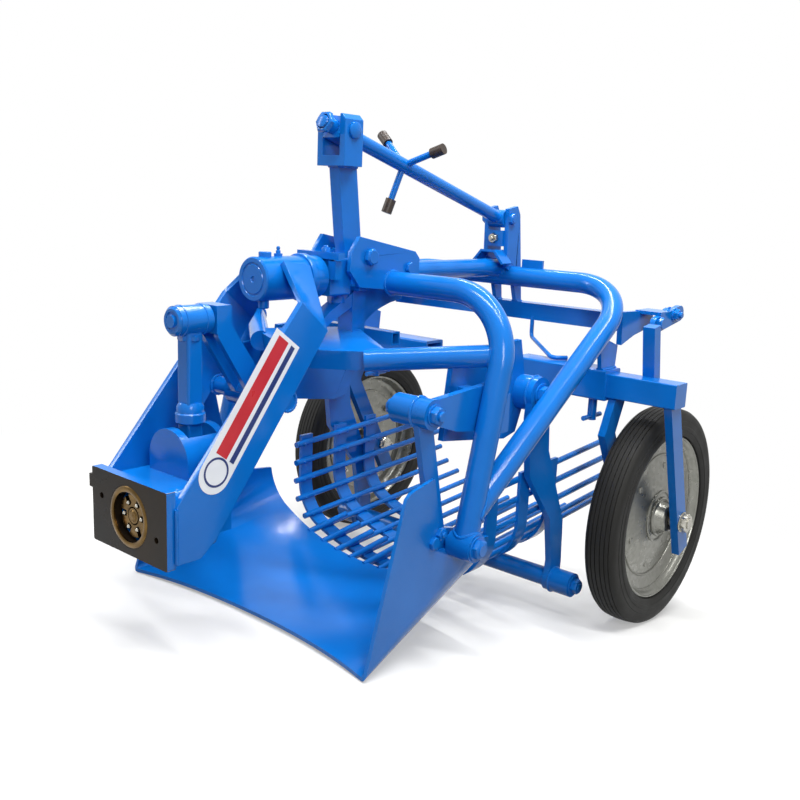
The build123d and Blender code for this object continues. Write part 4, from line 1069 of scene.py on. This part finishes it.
@dataclass(frozen=True)
class TubeWeld:
    """Where a tube ends on another tube's side, drawn for the left side.

    Attributes:
        start: A point on the tube's axis, away from the other tube.
        end: Where its axis is headed.
        radius: The tube's radius.
        onto: A point on the other tube's axis.
        onto_way: The way of that axis.
        onto_radius: The other tube's radius.
        body: The body that they belong to.
        bead: The bead's radius.
        paired: Whether the other side has one too.
    """

    start: Point
    end: Point
    radius: float
    onto: Point
    onto_way: Point
    onto_radius: float
    body: str
    bead: float
    paired: bool


@dataclass(frozen=True)
class RingWeld:
    """A bead round a tube or boss that ends on a flat face, drawn for the left side.

    Attributes:
        middle: The ring's middle.
        way: The way that it faces.
        radius: Its radius.
        body: The body that it belongs to.
        bead: The bead's radius.
        paired: Whether the other side has one too.
    """

    middle: Point
    way: Point
    radius: float
    body: str
    bead: float
    paired: bool


@dataclass(frozen=True)
class LineWeld:
    """A straight bead along a plate's edge, drawn for the left side.

    Attributes:
        start: Its first point.
        end: Its last point.
        body: The body that it belongs to.
        bead: The bead's radius.
        paired: Whether the other side has one too.
    """

    start: Point
    end: Point
    body: str
    bead: float
    paired: bool


Weld = TubeWeld | RingWeld | LineWeld
# The left foot that both arches meet in, the way that the front arch's leg runs up, and the axle's way
FOOT = (286.5, -480, 246)
ARCH_LEG = (0, 91, 365)
CROSSWISE = (1, 0, 0)


@dataclass
class Welds(Trim):
    """The weld beads that hold the frame together, painted over.

    Attributes:
        tube_welds: Beads where a tube meets a tube.
        ring_welds: Beads round a tube or boss on a flat face.
        line_welds: Beads along a plate's edge.
    """

    tube_welds: tuple[TubeWeld, ...] = (
        TubeWeld((286.5, -389, 611), FOOT, 19, FOOT, CROSSWISE, 22, "frame", 2.6, True),
        TubeWeld((286.5, -10, 608), (286.5, -474, 286), 19, FOOT, ARCH_LEG, 19.1, "frame", 2.8, True),
        TubeWeld((118, -530, 506), (286.5, -395, 524), 17, FOOT, ARCH_LEG, 19, "frame", 2.6, True),
        TubeWeld((0, -370, 624), (0, -10, 624), 17, (0, -10, 608), CROSSWISE, 19, "frame", 2.6, False),
    )
    ring_welds: tuple[RingWeld, ...] = (
        RingWeld((45.6, -389, 611), (1, 0, 0), 19.2, "frame", 2.6, True),
        RingWeld((244.6, -136, 77.3), (1, 0, 0), 22.2, "sieve", 2.2, True),
        RingWeld((231.4, -226, 434), (1, 0, 0), 30.0, "sieve", 2.2, True),
        RingWeld((231.6, -136, 77.3), (1, 0, 0), 17.2, "sieve", 2.2, True),
        RingWeld((245.6, -550, 452), (1, 0, 0), 22.2, "frame", 2.2, True),
        RingWeld((0, -363, 624), (0, 1, 0), 17.2, "frame", 2.4, False),
        RingWeld((79.4, -648, 452), (1, 0, 0), 14.4, "hitch", 2.6, True),
    )
    line_welds: tuple[LineWeld, ...] = (
        LineWeld((90, -852.4, 262), (90, -852.4, 337), "hitch", 2.6, True),
        LineWeld((-11, -486, 792), (-11, -446, 792), "hitch_head", 2.4, False),
        LineWeld((11, -486, 792), (11, -446, 792), "hitch_head", 2.4, False),
        LineWeld((-11, -486.4, 792), (11, -486.4, 792), "hitch_head", 2.4, False),
        LineWeld((28.3, 8, 557.4), (28.3, 26, 557.4), "frame", 2.4, True),
        LineWeld((18.7, 8, 557.4), (18.7, 26, 557.4), "frame", 2.2, True),
        LineWeld((278, -102, 469.4), (278, -54, 469.4), "frame", 2.4, True),
        LineWeld((287, -102, 469.4), (287, -54, 469.4), "frame", 2.4, True),
        LineWeld((205.4, -404, 406), (205.4, -404, 462), "frame", 2.2, True),
        LineWeld((16.4, -452, 598), (16.4, -421, 598), "frame", 2.2, True),
        LineWeld((6, -60, 628), (6, -34, 628), "frame", 2.0, True),
    )

    def bead(self, row: Weld, points: Sequence[Vector], closed: bool) -> None:
        """Lays one rippled bead along points.

        Args:
            row: The weld's row.
            points: The bead's middle line.
            closed: Whether it goes all the way round.
        """
        mesh = self.batches.of("weld_beads", row.body, ENAMEL)
        tube(mesh, points, ripple(points, row.bead), closed)

    def build(self) -> None:
        """Lays them all."""
        for side in Side:
            for row in self.standing(self.tube_welds, side):
                ends = (row.start, row.end, row.onto, row.onto_way)
                start, end, onto, way = (self.mirrored(point, side) for point in ends)
                self.bead(row, saddle(start, end, row.radius, onto, way, row.onto_radius), True)
            for row in self.standing(self.ring_welds, side):
                self.bead(row, circle(self.mirrored(row.middle, side), Vector(row.way), row.radius), True)
            for row in self.standing(self.line_welds, side):
                self.bead(row, straight(self.mirrored(row.start, side), self.mirrored(row.end, side)), False)


@dataclass
class SieveTrim(Trim):
    """The drops of weld that hold each rod to the carriers.

    Attributes:
        carrier_at: Where the carriers cross, along the machine.
        drop: Radius of a drop.
        drop_at: How far a drop stands from the rod's middle, from the carrier's middle and below the axis.
        crown: Radius of the trough's floor.
        half_width: Half the trough's width.
        corner: Radius of its corners.
        rods: How many rods there are.
        pitch: Distance between rods, round the section.
        front: The rods' front end: along the machine, and the floor's height.
        rise: How much the rods rise to the rear, as an angle.
    """

    carrier_at: tuple[float, ...] = (-320.0, -225.0, -136.0)
    drop: float = 3.2
    drop_at: tuple[float, float, float] = (4.2, 12.0, 1.5)
    crown: float = 430.0
    half_width: float = 216.0
    corner: float = 80.0
    rods: int = 20
    pitch: float = 36.0
    front: tuple[float, float] = (-352.0, 90.0)
    rise: float = math.radians(3.6)

    def rod_place(self, along: float) -> tuple[float, float]:
        """Where a rod lies in the trough's section.

        Args:
            along: Its distance from the middle, round the section.

        Returns:
            Its X and its height over the middle.
        """
        reach = self.crown - self.corner
        middle_x = self.half_width - self.corner
        lean = math.asin(middle_x / reach)
        middle_z = self.crown - reach * math.cos(lean)
        turn = min(abs(along) / self.crown, lean)
        x, height = self.crown * math.sin(turn), self.crown * (1 - math.cos(turn))
        beyond = abs(along) - self.crown * lean
        if beyond > 0:
            turn = min(lean + beyond / self.corner, math.pi / 2)
            x, height = middle_x + self.corner * math.sin(turn), middle_z - self.corner * math.cos(turn)
            height += max(beyond - self.corner * (math.pi / 2 - lean), 0.0)
        return math.copysign(x, along), height

    def build(self) -> None:
        """Lays four drops at every crossing, two on each edge of the carrier."""
        mesh = self.batches.of("rod_welds", "sieve", ENAMEL)
        beside, off, below = self.drop_at
        slope = math.tan(self.rise)
        for n in range(self.rods):
            x, height = self.rod_place(self.pitch * (n - (self.rods - 1) / 2))
            for y in self.carrier_at:
                z = self.front[1] + (y - self.front[0]) * slope + height
                for offset in (-off, off):
                    for lean in (-beside, beside):
                        spot = Vector((x + lean, y + offset, z + offset * slope - below))
                        place = Matrix.Translation(spot)
                        bmesh.ops.create_icosphere(mesh, subdivisions=1, radius=self.drop, matrix=place)


@dataclass(frozen=True)
class Stripe:
    """One printed area of the label, with its edges in shares of the label's half width.

    Attributes:
        name: The piece's name.
        finish: Its finish.
        low: Its lower edge.
        high: Its upper edge.
        lift: How far it stands off the plate, in millimetres.
        inset: How far it starts from the label's foot.
        short: How far it ends before the label's top.
    """

    name: str
    finish: Finish
    low: float
    high: float
    lift: float
    inset: float
    short: float


@dataclass(frozen=True)
class Turned:
    """A small turned part in the machine's middle plane.

    Attributes:
        kind: What it is.
        body: The body that it rides on.
        finish: Its finish.
        at: Its base, as Y and Z.
        way: The way that its axis points.
        section: Radius and height of each point of its section.
        steps: How many steps make the round.
    """

    kind: str
    body: str
    finish: Finish
    at: tuple[float, float]
    way: Point
    section: Profile
    steps: int


FORWARD, REARWARD, UP, DOWN = (0, -1, 0), (0, 1, 0), (0, 0, 1), (0, 0, -1)
# Section of a ring on the crank rod's head
ROD_RING = ((20.8, 0), (22.2, 0.7), (22.2, 3.3), (20.8, 4.0))


@dataclass
class Hitch(Trim):
    """What stands on the hitch: machined rings, studs, caps, a nipple and a plain striped label.

    Attributes:
        face_parts: The ring round the flange's bore and the coupling's middle.
        dogs: How many studs the coupling has.
        dog_circle: Radius of their circle.
        dog_base: The circle's middle, as Y and Z.
        dog: Diameter, height and edge of a stud.
        tab: Corners of the locating tab.
        turned_parts: The swivel tube's cap with its groove and dimple, its rear collar, its nipple and its
            two bosses, then the rod head's cap and rings and the collar at the rod's foot.
        label_at: Foot and top of the label, as Y and Z.
        label_half: Half its width.
        label_x: The plate's outer face.
        foot_arc: Degrees of the round foot's points.
        stripes: Its printed areas.
        roundel: Outer and inner radius of its ring, in shares of the half width.
        roundel_lift: How far the ring stands off the plate.
        roundel_up: How far its middle stands from the foot.
        roundel_steps: How many steps make it.
    """

    face_parts: tuple[Turned, ...] = (
        Turned("register_ring", "hitch", TURNED, (-865.8, 307.0), FORWARD, (
            (35.5, -2.0), (35.5, 0.5), (37.0, 1.2), (42.0, 1.2), (43.5, 0.0), (43.5, -2.0),
        ), 72),
        Turned("coupling_hub", "pto", TURNED, (-857.8, 307.0), FORWARD, (
            (0.0, 0.0), (0.0, 3.0), (3.5, 2.0), (6.5, 2.0), (8.0, 0.6), (11.0, 0.6), (12.5, -6.0),
        ), 40),
    )
    dogs: int = 6
    dog_circle: float = 20.0
    dog_base: tuple[float, float] = (-857.8, 307.0)
    dog: tuple[float, float, float] = (5.6, 3.4, 1.4)
    tab: tuple[Point, Point] = ((-97.0, -865.0, 329.0), (-88.0, -857.0, 348.0))
    turned_parts: tuple[Turned, ...] = (
        Turned("swivel_cap", "hitch", ENAMEL, (-647.0, 622.0), FORWARD, (
            (0.0, 0.4), (3.2, 0.6), (4.6, 2.4), (21.0, 2.4), (22.0, 1.0), (24.0, 1.0), (25.0, 2.4),
            (31.0, 2.4), (32.6, 0.8), (32.6, -0.4),
        ), 64),
        Turned("swivel_collars", "hitch", ENAMEL, (-546.0, 622.0), FORWARD, (
            (32.8, 0.0), (36.0, 0.6), (36.6, 2.0), (36.6, 12.0), (36.0, 13.4), (32.8, 14.0),
        ), 64),
        Turned("grease_nipples", "hitch", ENAMEL, (-600.0, 654.6), UP, (
            (0, 15), (1.6, 15), (2.9, 13), (2.9, 11), (2.0, 10), (3.6, 8.4), (3.6, 4.6), (6.5, 4.4),
            (6.5, -2.0),
        ), 16),
        Turned("swivel_boss", "hitch", ENAMEL, (-626.0, 653.0), UP, (
            (0, 9), (8.6, 9), (9.6, 8), (9.6, -3),
        ), 28),
        Turned("swivel_boss", "hitch", ENAMEL, (-628.0, 591.0), DOWN, (
            (0, 13), (7, 13), (8.4, 11.6), (8.4, -3),
        ), 28),
        Turned("rod_head_cap", "con_rod", ENAMEL, (-789.0, 570.0), FORWARD, (
            (0, 3.0), (6.0, 3.0), (7.2, 2.0), (12.5, 2.0), (13.5, 3.4), (17.5, 3.4), (19.2, 1.6),
            (20.4, -0.2),
        ), 48),
        Turned("rod_head_rings", "con_rod", ENAMEL, (-781.0, 570.0), REARWARD, ROD_RING, 48),
        Turned("rod_head_rings", "con_rod", ENAMEL, (-747.0, 570.0), REARWARD, ROD_RING, 48),
        Turned("rod_collar", "con_rod", ENAMEL, (-762.0, 424.0), UP, (
            (0, 30), (15.5, 30), (19.5, 24), (19.5, 16), (21.5, 14), (21.5, 2), (19.5, 0), (0, 0),
        ), 40),
    )
    label_at: tuple[tuple[float, float], ...] = ((-790.0, 372.0), (-660.0, 548.0))
    label_half: float = 27.0
    label_x: float = 90.0
    foot_arc: Sequence[int] = range(80, -90, -10)
    stripes: tuple[Stripe, ...] = (
        Stripe("label_ground", LABEL_WHITE, -1.0, 1.0, 0.35, 0.0, 0.0),
        Stripe("label_broad_stripe", LABEL_RED, -0.62, 0.18, 0.55, 26.0, 6.0),
        Stripe("label_narrow_stripe", LABEL_NAVY, 0.42, 0.74, 0.55, 26.0, 6.0),
    )
    roundel: tuple[float, float] = (0.78, 0.66)
    roundel_lift: float = 0.55
    roundel_up: float = 4.0
    roundel_steps: int = 56

    def turned(self, row: Turned) -> None:
        """Turns one part."""
        mesh = self.batches.of(row.kind, row.body, row.finish)
        lathe(mesh, row.section, stand((0, *row.at), row.way), row.steps)

    def studs(self) -> None:
        """Adds the coupling's studs."""
        y, z = self.dog_base
        for turn in even_turns(self.dogs):
            spot = Vector((self.dog_circle * math.cos(turn), y, z + self.dog_circle * math.sin(turn)))
            disc(self.batches.of("coupling_dogs", "pto", ZINC), stand(spot, FORWARD), *self.dog)

    def label(self) -> None:
        """Adds a plain striped vinyl label along the near plate, with a ring at its round foot."""
        (y0, z0), (y1, z1) = self.label_at
        start, end = Vector((self.label_x, y0, z0)), Vector((self.label_x, y1, z1))
        along = (end - start).normalized()
        across = Vector((0, along.z, -along.y))
        for row in self.stripes:
            low, high = across * self.label_half * row.low, across * self.label_half * row.high
            foot, top = start + along * row.inset, end - along * row.short
            corners = [foot + low, top + low, top + high, foot + high]
            if not row.inset:
                for turn in (math.radians(degrees) for degrees in self.foot_arc):
                    reach = math.sin(turn) * across - math.cos(turn) * along
                    corners.append(start + self.label_half * reach)
            mesh = bmesh.new()
            mesh.faces.new([mesh.verts.new(corner + Vector((row.lift, 0, 0))) for corner in corners])
            self.shop.piece(row.name, mesh, row.finish, "hitch", "grip_plastic")
        mesh = bmesh.new()
        outward = Side.LEFT.way
        middle = start + along * self.roundel_up + outward * self.roundel_lift
        spans = turn_frame(outward)
        radii = (self.label_half * share for share in self.roundel)
        rows = (ring_points(middle, spans, radius, self.roundel_steps) for radius in radii)
        wide, slim = ([mesh.verts.new(point) for point in row] for row in rows)
        skin(mesh, wide, slim)
        self.shop.piece("label_roundel", mesh, LABEL_NAVY, "hitch", "grip_plastic")

    def build(self) -> None:
        """Adds them all."""
        for row in self.face_parts:
            self.turned(row)
        self.studs()
        slab(self.batches.of("locating_tab", "hitch", IRON), *self.tab)
        for row in self.turned_parts:
            self.turned(row)
        self.label()


@dataclass
class Clevis(Trim):
    """The mast's clevis and the head: pin heads, the screw's front end, its lock nut and the stops.

    Attributes:
        pin_head: Section of a trunnion pin's head.
        pin_head_x: Distance of its base from the middle.
        stub: How far the screw's front end stands from the trunnion's middle.
        thread_start: Radius and height of the screw's end.
        thread: Outer and inner radius of its thread.
        thread_from: Height of the first turn.
        thread_pitch: Distance between turns.
        thread_turns: How many turns show.
        thread_steps: How many steps make the screw's round.
        nut: Size across the flats, height and bore of the lock nut.
        nut_back: How far behind the screw's front it stands.
        stop: Corners of the plate that carries the stop screw.
        roll_stops: Corners of the swivel block's two stops.
    """

    pin_head: Profile = ((0, 4.6), (10.5, 4.6), (12.4, 3.2), (12.8, 0.0), (0, 0))
    pin_head_x: float = 30.4
    stub: float = 34.0
    thread_start: tuple[float, float] = (8.0, 9.0)
    thread: tuple[float, float] = (9.8, 8.6)
    thread_from: float = 8.4
    thread_pitch: float = 3.0
    thread_turns: int = 9
    thread_steps: int = 28
    nut: tuple[float, float, float] = (30.0, 8.0, 23.2)
    nut_back: float = 2.0
    stop: tuple[Point, Point] = ((-19.3, -41.0, 665.0), (19.3, -33.0, 695.0))
    roll_stops: tuple[tuple[Point, Point], ...] = (
        ((-42.0, -522.0, 650.6), (50.0, -508.0, 661.0)),
        ((28.6, -522.0, 620.0), (44.0, -508.0, 648.0)),
    )

    def stops(self) -> None:
        """Adds the plate between the lugs that carries the stop screw, and the swivel block's roll stops."""
        slab(self.batches.of("stop_plate", "frame", ENAMEL), *self.stop)
        for corners in self.roll_stops:
            slab(self.batches.of("roll_stops", "hitch_head", ENAMEL), *corners)

    def build(self) -> None:
        """Adds them all."""
        self.stops()
        middle = self.shop.machine.middle("trunnion")
        heads = self.batches.of("pin_heads", "trunnion", ENAMEL)
        for side in Side:
            spot = Vector((side.value * self.pin_head_x, middle.y, middle.z))
            lathe(heads, self.pin_head, stand(spot, side.way), DISC_STEPS)
        way = (self.shop.machine.middle("lug_pin") - middle).normalized()
        front = middle - way * self.stub
        radius, top = self.thread_start
        points = [(0.0, top), (radius, top)]
        for n in range(self.thread_turns):
            level = self.thread_from - n * self.thread_pitch
            points += [(self.thread[0], level), (self.thread[1], level - self.thread_pitch / 2)]
        lathe(self.batches.of("screw_end", "screw", ENAMEL), points, stand(front, -way), self.thread_steps)
        place = stand(front + way * self.nut_back, -way)
        hexagon(self.batches.of("lock_nut", "trunnion", ENAMEL), place, *self.nut)


@dataclass
class RimTrim(Trim):
    """The pressed rings, the bolts, the hub seals and the spacers of both rims.

    Attributes:
        rings: Distance from the wheel's middle plane, radius and bead radius of each pressed ring.
        ring_step: Distance between a ring's points.
        bolt_circle: Radius of the circle of bolts that hold the hub's flange.
        bolts: How many there are.
        bolt_start: Where the first one stands, in shares of the step between them.
        rivet_at: Distance of the rivets' base, outside.
        rivet: Diameter, height and edge of a rivet's head.
        bolt_at: Distance of the nuts' base, inside.
        nut: Size across the flats and height of a nut.
        bolt_tail: Diameter, height and edge of a bolt's end.
        seal_at: Distance of the hub seals' base.
        seal: Diameter, height and edge of a seal.
        hub_end: Distance of the hub's ends.
        bar_face: Distance of the wheel bar's legs.
        spacer: Diameter and edge of a spacer.
    """

    rings: tuple[tuple[float, float, float], ...] = (
        (22.6, 148.2, 2.4), (10.2, 138.5, 1.8), (4.6, 113.0, 2.6), (14.2, 46.0, 2.4), (17.5, 34.0, 2.8),
        (-22.6, 148.2, 2.4), (-1.6, 113.0, 2.6), (7.0, 46.0, 2.0),
    )
    ring_step: float = 3.0
    bolt_circle: float = 92.0
    bolts: int = 6
    bolt_start: float = 0.3
    rivet_at: float = 5.9
    rivet: tuple[float, float, float] = (12.0, 2.4, 1.2)
    bolt_at: float = 0.7
    nut: tuple[float, float] = (13.0, 7.0)
    bolt_tail: tuple[float, float, float] = (7.6, 13.0, 1.0)
    seal_at: float = 36.0
    seal: tuple[float, float, float] = (40.0, 2.6, 0.8)
    hub_end: float = 37.0
    bar_face: float = 45.0
    spacer: tuple[float, float] = (27.0, 0.5)

    def bolt_row(self, wheel: str, place: Matrix) -> None:
        """Adds the rivets outside the disc and the nuts inside it.

        Args:
            wheel: The wheel's body.
            place: The wheel's middle, with Z outward.
        """
        for turn in even_turns(self.bolts, self.bolt_start):
            x, y = self.bolt_circle * math.cos(turn), self.bolt_circle * math.sin(turn)
            outer = place @ Matrix.Translation((x, y, self.rivet_at))
            inner = place @ Matrix.Translation((x, y, self.bolt_at)) @ Matrix.Rotation(math.pi, 4, "X")
            disc(self.batches.of("disc_rivets", wheel, GALVANISED), outer, *self.rivet)
            hexagon(self.batches.of("disc_bolts", wheel, ZINC), inner, *self.nut)
            disc(self.batches.of("disc_bolts", wheel, ZINC), inner, *self.bolt_tail)

    def build(self) -> None:
        """Adds them to both wheels."""
        width, edge = self.spacer
        length = self.bar_face - self.hub_end
        for side in Side:
            wheel, bar = f"{side.word}_wheel", f"{side.word}_wheel_bar"
            place = stand(self.shop.machine.middle(f"rim_{side.word}"), side.way)
            for distance, radius, bead in self.rings:
                points = circle(place @ Vector((0, 0, distance)), side.way, radius, self.ring_step)
                ring = self.batches.of("pressed_rings", wheel, GALVANISED)
                tube(ring, points, [bead] * len(points), True)
            self.bolt_row(wheel, place)
            for flip in (0.0, math.pi):
                end = place @ Matrix.Rotation(flip, 4, "X")
                seal = end @ Matrix.Translation((0, 0, self.seal_at))
                disc(self.batches.of("hub_seals", wheel, RUBBER), seal, *self.seal)
                spacer = end @ Matrix.Translation((0, 0, self.hub_end))
                disc(self.batches.of("spacers", bar, ZINC), spacer, width, length, edge)


@dataclass
class PaintedFrame:
    """Every CAD node whose form is right: it only takes its finish and broken edges.

    Attributes:
        shop: Where the nodes are finished.
        bright: Nodes of turned steel.
        plated: Zinc plated nodes.
        caps: Plastic nodes.
        skipped: Nodes that another class makes or dresses.
        edge: How near to the flange's outline a face counts as its edge, in millimetres.
        back: From what rearward part of its normal a face counts as the flange's back.
    """

    shop: Workshop
    bright: tuple[str, ...] = ("pto_coupling",)
    plated: tuple[str, ...] = ("axle_left", "axle_right")
    caps: tuple[str, ...] = ("handle_grips",)
    skipped: tuple[str, ...] = ("tyre_left", "tyre_right", "rim_left", "rim_right")
    edge: float = 0.5
    back: float = 0.7

    def bare_face(self) -> None:
        """Leaves the hitch flange's front, bore and holes bare, and paints its outer edges and its back."""
        data = self.shop.machine.nodes["hitch_flange"].data
        data.materials.append(IRON.build())
        low, high = self.shop.machine.box("hitch_flange")
        for face in data.polygons:
            middle, normal = self.shop.machine.level_face(face)
            inside = all(low[i] + self.edge < middle[i] < high[i] - self.edge for i in (0, 2))
            face.material_index = int(inside and normal.y < self.back)

    def build(self) -> None:
        """Dresses each node by its finish."""
        groups = ((self.bright, TURNED), (self.plated, ZINC), (self.caps, CAP))
        finishes = {name: finish for names, finish in groups for name in names}
        for node in self.shop.machine.nodes:
            if node not in self.skipped:
                self.shop.dress_node(node, finishes.get(node, ENAMEL))
        self.bare_face()


# Studio


@dataclass(frozen=True)
class Lamp:
    """A soft rectangular lamp.

    Attributes:
        name: Its name.
        place: Where it hangs, in metres.
        size: Its two sides, in metres.
        watts: Its power.
    """

    name: str
    place: Point
    size: tuple[float, float]
    watts: float


@dataclass
class Studio:
    """Pale floor, backdrop, soft lamps and the photograph's camera.

    Attributes:
        machine: The machine that it shows.
        camera_at: The camera, in the level axes.
        yaw: Its azimuth from straight in front, towards the machine's left.
        pitch: How far it looks down.
        roll: How far it is turned about its line of sight.
        focal_px: Its focal length in pixels of the frame.
        frame_px: The frame's width in pixels.
        sensor: The camera's sensor width in millimetres.
        floor_colour: The floor as the camera sees it.
        bounce_colour: The floor as it throws light back, darker so that the paint keeps its depth.
        shadow_reach: Distances in metres over which the floor turns plain white.
        wash: How white it already is within them.
        ambient: Strength of the surroundings' light.
        clip_start: The nearest thing that the camera sees, in metres.
        floor_size: The floor's side, in metres.
        floor_roughness: How dull the floor is.
        aim: What the lamps point at, in metres.
        lamps: Two narrow ones overhead for the long highlights on the tubes, and one at each side.
    """

    machine: Machine
    camera_at: Point = (1055.0, -1552.0, 744.4)
    yaw: float = 40.2
    pitch: float = 12.1
    roll: float = 2.4
    focal_px: float = 932.2
    frame_px: float = 800.0
    sensor: float = 36.0
    floor_colour: str = "#f6f6f4"
    bounce_colour: str = "#76797c"
    shadow_reach: tuple[float, float] = (0.75, 1.5)
    wash: float = 0.35
    ambient: float = 0.16
    clip_start: float = 0.05
    floor_size: float = 60.0
    floor_roughness: float = 0.9
    aim: Point = (0.0, 0.0, 0.3)
    lamps: tuple[Lamp, ...] = (
        Lamp("overhead_front", (0.5, -0.9, 2.4), (2.6, 0.12), 62),
        Lamp("overhead_rear", (0.1, 0.5, 2.5), (2.6, 0.12), 52),
        Lamp("front_left", (2.3, -1.9, 1.5), (0.7, 1.0), 38),
        Lamp("front_right", (-2.4, -1.8, 1.6), (0.25, 1.4), 20),
    )

    def camera(self) -> None:
        """Sets the camera where the photograph was taken from."""
        yaw, pitch, roll = (math.radians(v) for v in (self.yaw, self.pitch, self.roll))
        ahead = Vector((-math.sin(yaw) * math.cos(pitch), math.cos(yaw) * math.cos(pitch), -math.sin(pitch)))
        right = Vector((math.cos(yaw), math.sin(yaw), 0.0))
        up = right.cross(ahead)
        level_right = math.cos(roll) * right + math.sin(roll) * up
        level_up = -math.sin(roll) * right + math.cos(roll) * up
        turn = Matrix((level_right, level_up, -ahead)).transposed()
        seat_turn = Matrix.Rotation(self.machine.pitch, 3, "X")
        data = bpy.data.cameras.new("camera")
        data.sensor_width = self.sensor
        data.lens = self.focal_px * self.sensor / self.frame_px
        data.clip_start = self.clip_start
        camera = bpy.data.objects.new("camera", data)
        place = self.machine.seat @ Vector(self.camera_at)
        camera.matrix_world = Matrix.Translation(place) @ (seat_turn @ turn).to_4x4()
        bpy.context.scene.collection.objects.link(camera)
        bpy.context.scene.camera = camera

    def lamp(self, row: Lamp) -> None:
        """Hangs one lamp.

        Args:
            row: The lamp.
        """
        data = bpy.data.lights.new(row.name, "AREA")
        data.shape = "RECTANGLE"
        data.size, data.size_y = row.size
        data.energy = row.watts
        thing = bpy.data.objects.new(row.name, data)
        thing.location = row.place
        thing.rotation_euler = (Vector(self.aim) - Vector(row.place)).to_track_quat("-Z", "Y").to_euler()
        bpy.context.scene.collection.objects.link(thing)

    def seen(self, tree: bpy.types.NodeTree) -> bpy.types.NodeSocket:
        """Tells whether the camera, a reflection or a pane of glass sees a place, rather than its light.

        Args:
            tree: The node tree that asks.

        Returns:
            A socket that is 1 where it does.
        """
        path = add_node(tree, "LightPath").outputs
        largest = path["Is Camera Ray"]
        for name in ("Is Glossy Ray", "Is Transmission Ray"):
            either = add_node(tree, "Math", {"operation": "MAXIMUM"}, {0: largest, 1: path[name]})
            largest = either.outputs[0]
        return largest

    def floor(self) -> None:
        """Lays a pale floor that keeps the soft shadow and turns plain white away from the machine."""
        bpy.ops.mesh.primitive_plane_add(size=self.floor_size)
        floor = bpy.context.object
        floor.name = "floor"
        material = bpy.data.materials.new("pale_floor")
        material.use_nodes = True
        tree = material.node_tree
        surface, output = tree.nodes["Principled BSDF"], tree.nodes["Material Output"]
        surface.inputs["Roughness"].default_value = self.floor_roughness
        surface.inputs["Specular IOR Level"].default_value = 0.0
        seen = self.seen(tree)
        tones = {"data_type": "RGBA", 6: linear(self.bounce_colour), 7: linear(self.floor_colour)}
        pale = add_node(tree, "Mix", tones, {0: seen})
        tree.links.new(pale.outputs[2], surface.inputs["Base Color"])
        place = add_node(tree, "TexCoord").outputs["Object"]
        away = add_node(tree, "VectorMath", {"operation": "LENGTH"}, {0: place}).outputs["Value"]
        fade = {"From Min": self.shadow_reach[0], "From Max": self.shadow_reach[1], "To Min": self.wash}
        far = add_node(tree, "MapRange", fade, {"Value": away}).outputs["Result"]
        factor = add_node(tree, "Math", {"operation": "MULTIPLY"}, {0: far, 1: seen}).outputs[0]
        white = add_node(tree, "Emission", {"Color": (1, 1, 1, 1), "Strength": 1.0}).outputs["Emission"]
        mixed = add_node(tree, "MixShader", {}, {0: factor, 1: surface.outputs["BSDF"], 2: white})
        tree.links.new(mixed.outputs["Shader"], output.inputs["Surface"])
        floor.data.materials.append(material)

    def world(self) -> None:
        """Makes the surroundings a soft grey light that the camera and reflections see as white."""
        world = bpy.data.worlds.new("studio")
        bpy.context.scene.world = world
        world.use_nodes = True
        tree = world.node_tree
        ground = tree.nodes["Background"]
        levels = {"To Min": self.ambient, "To Max": 1.0}
        strength = add_node(tree, "MapRange", levels, {"Value": self.seen(tree)})
        tree.links.new(strength.outputs["Result"], ground.inputs["Strength"])
        ground.inputs["Color"].default_value = (1, 1, 1, 1)

    def build(self) -> None:
        """Sets the whole studio."""
        self.camera()
        self.floor()
        self.world()
        for row in self.lamps:
            self.lamp(row)
        bpy.context.scene.view_settings.view_transform = "Standard"


def main() -> None:
    """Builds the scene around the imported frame."""
    logging.basicConfig(level=logging.INFO, format="%(name)s: %(message)s")
    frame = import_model()
    machine = Machine(frame)
    shop = Workshop(machine)
    Studio(machine).build()
    PaintedFrame(shop).build()
    Wheels(shop).build()
    batches = Batches(shop)
    for assembly in (Fasteners, Welds, RimTrim, SieveTrim, Hitch, Clevis):
        assembly(shop, batches).build()
    batches.build()


if __name__ == "__main__":
    main()
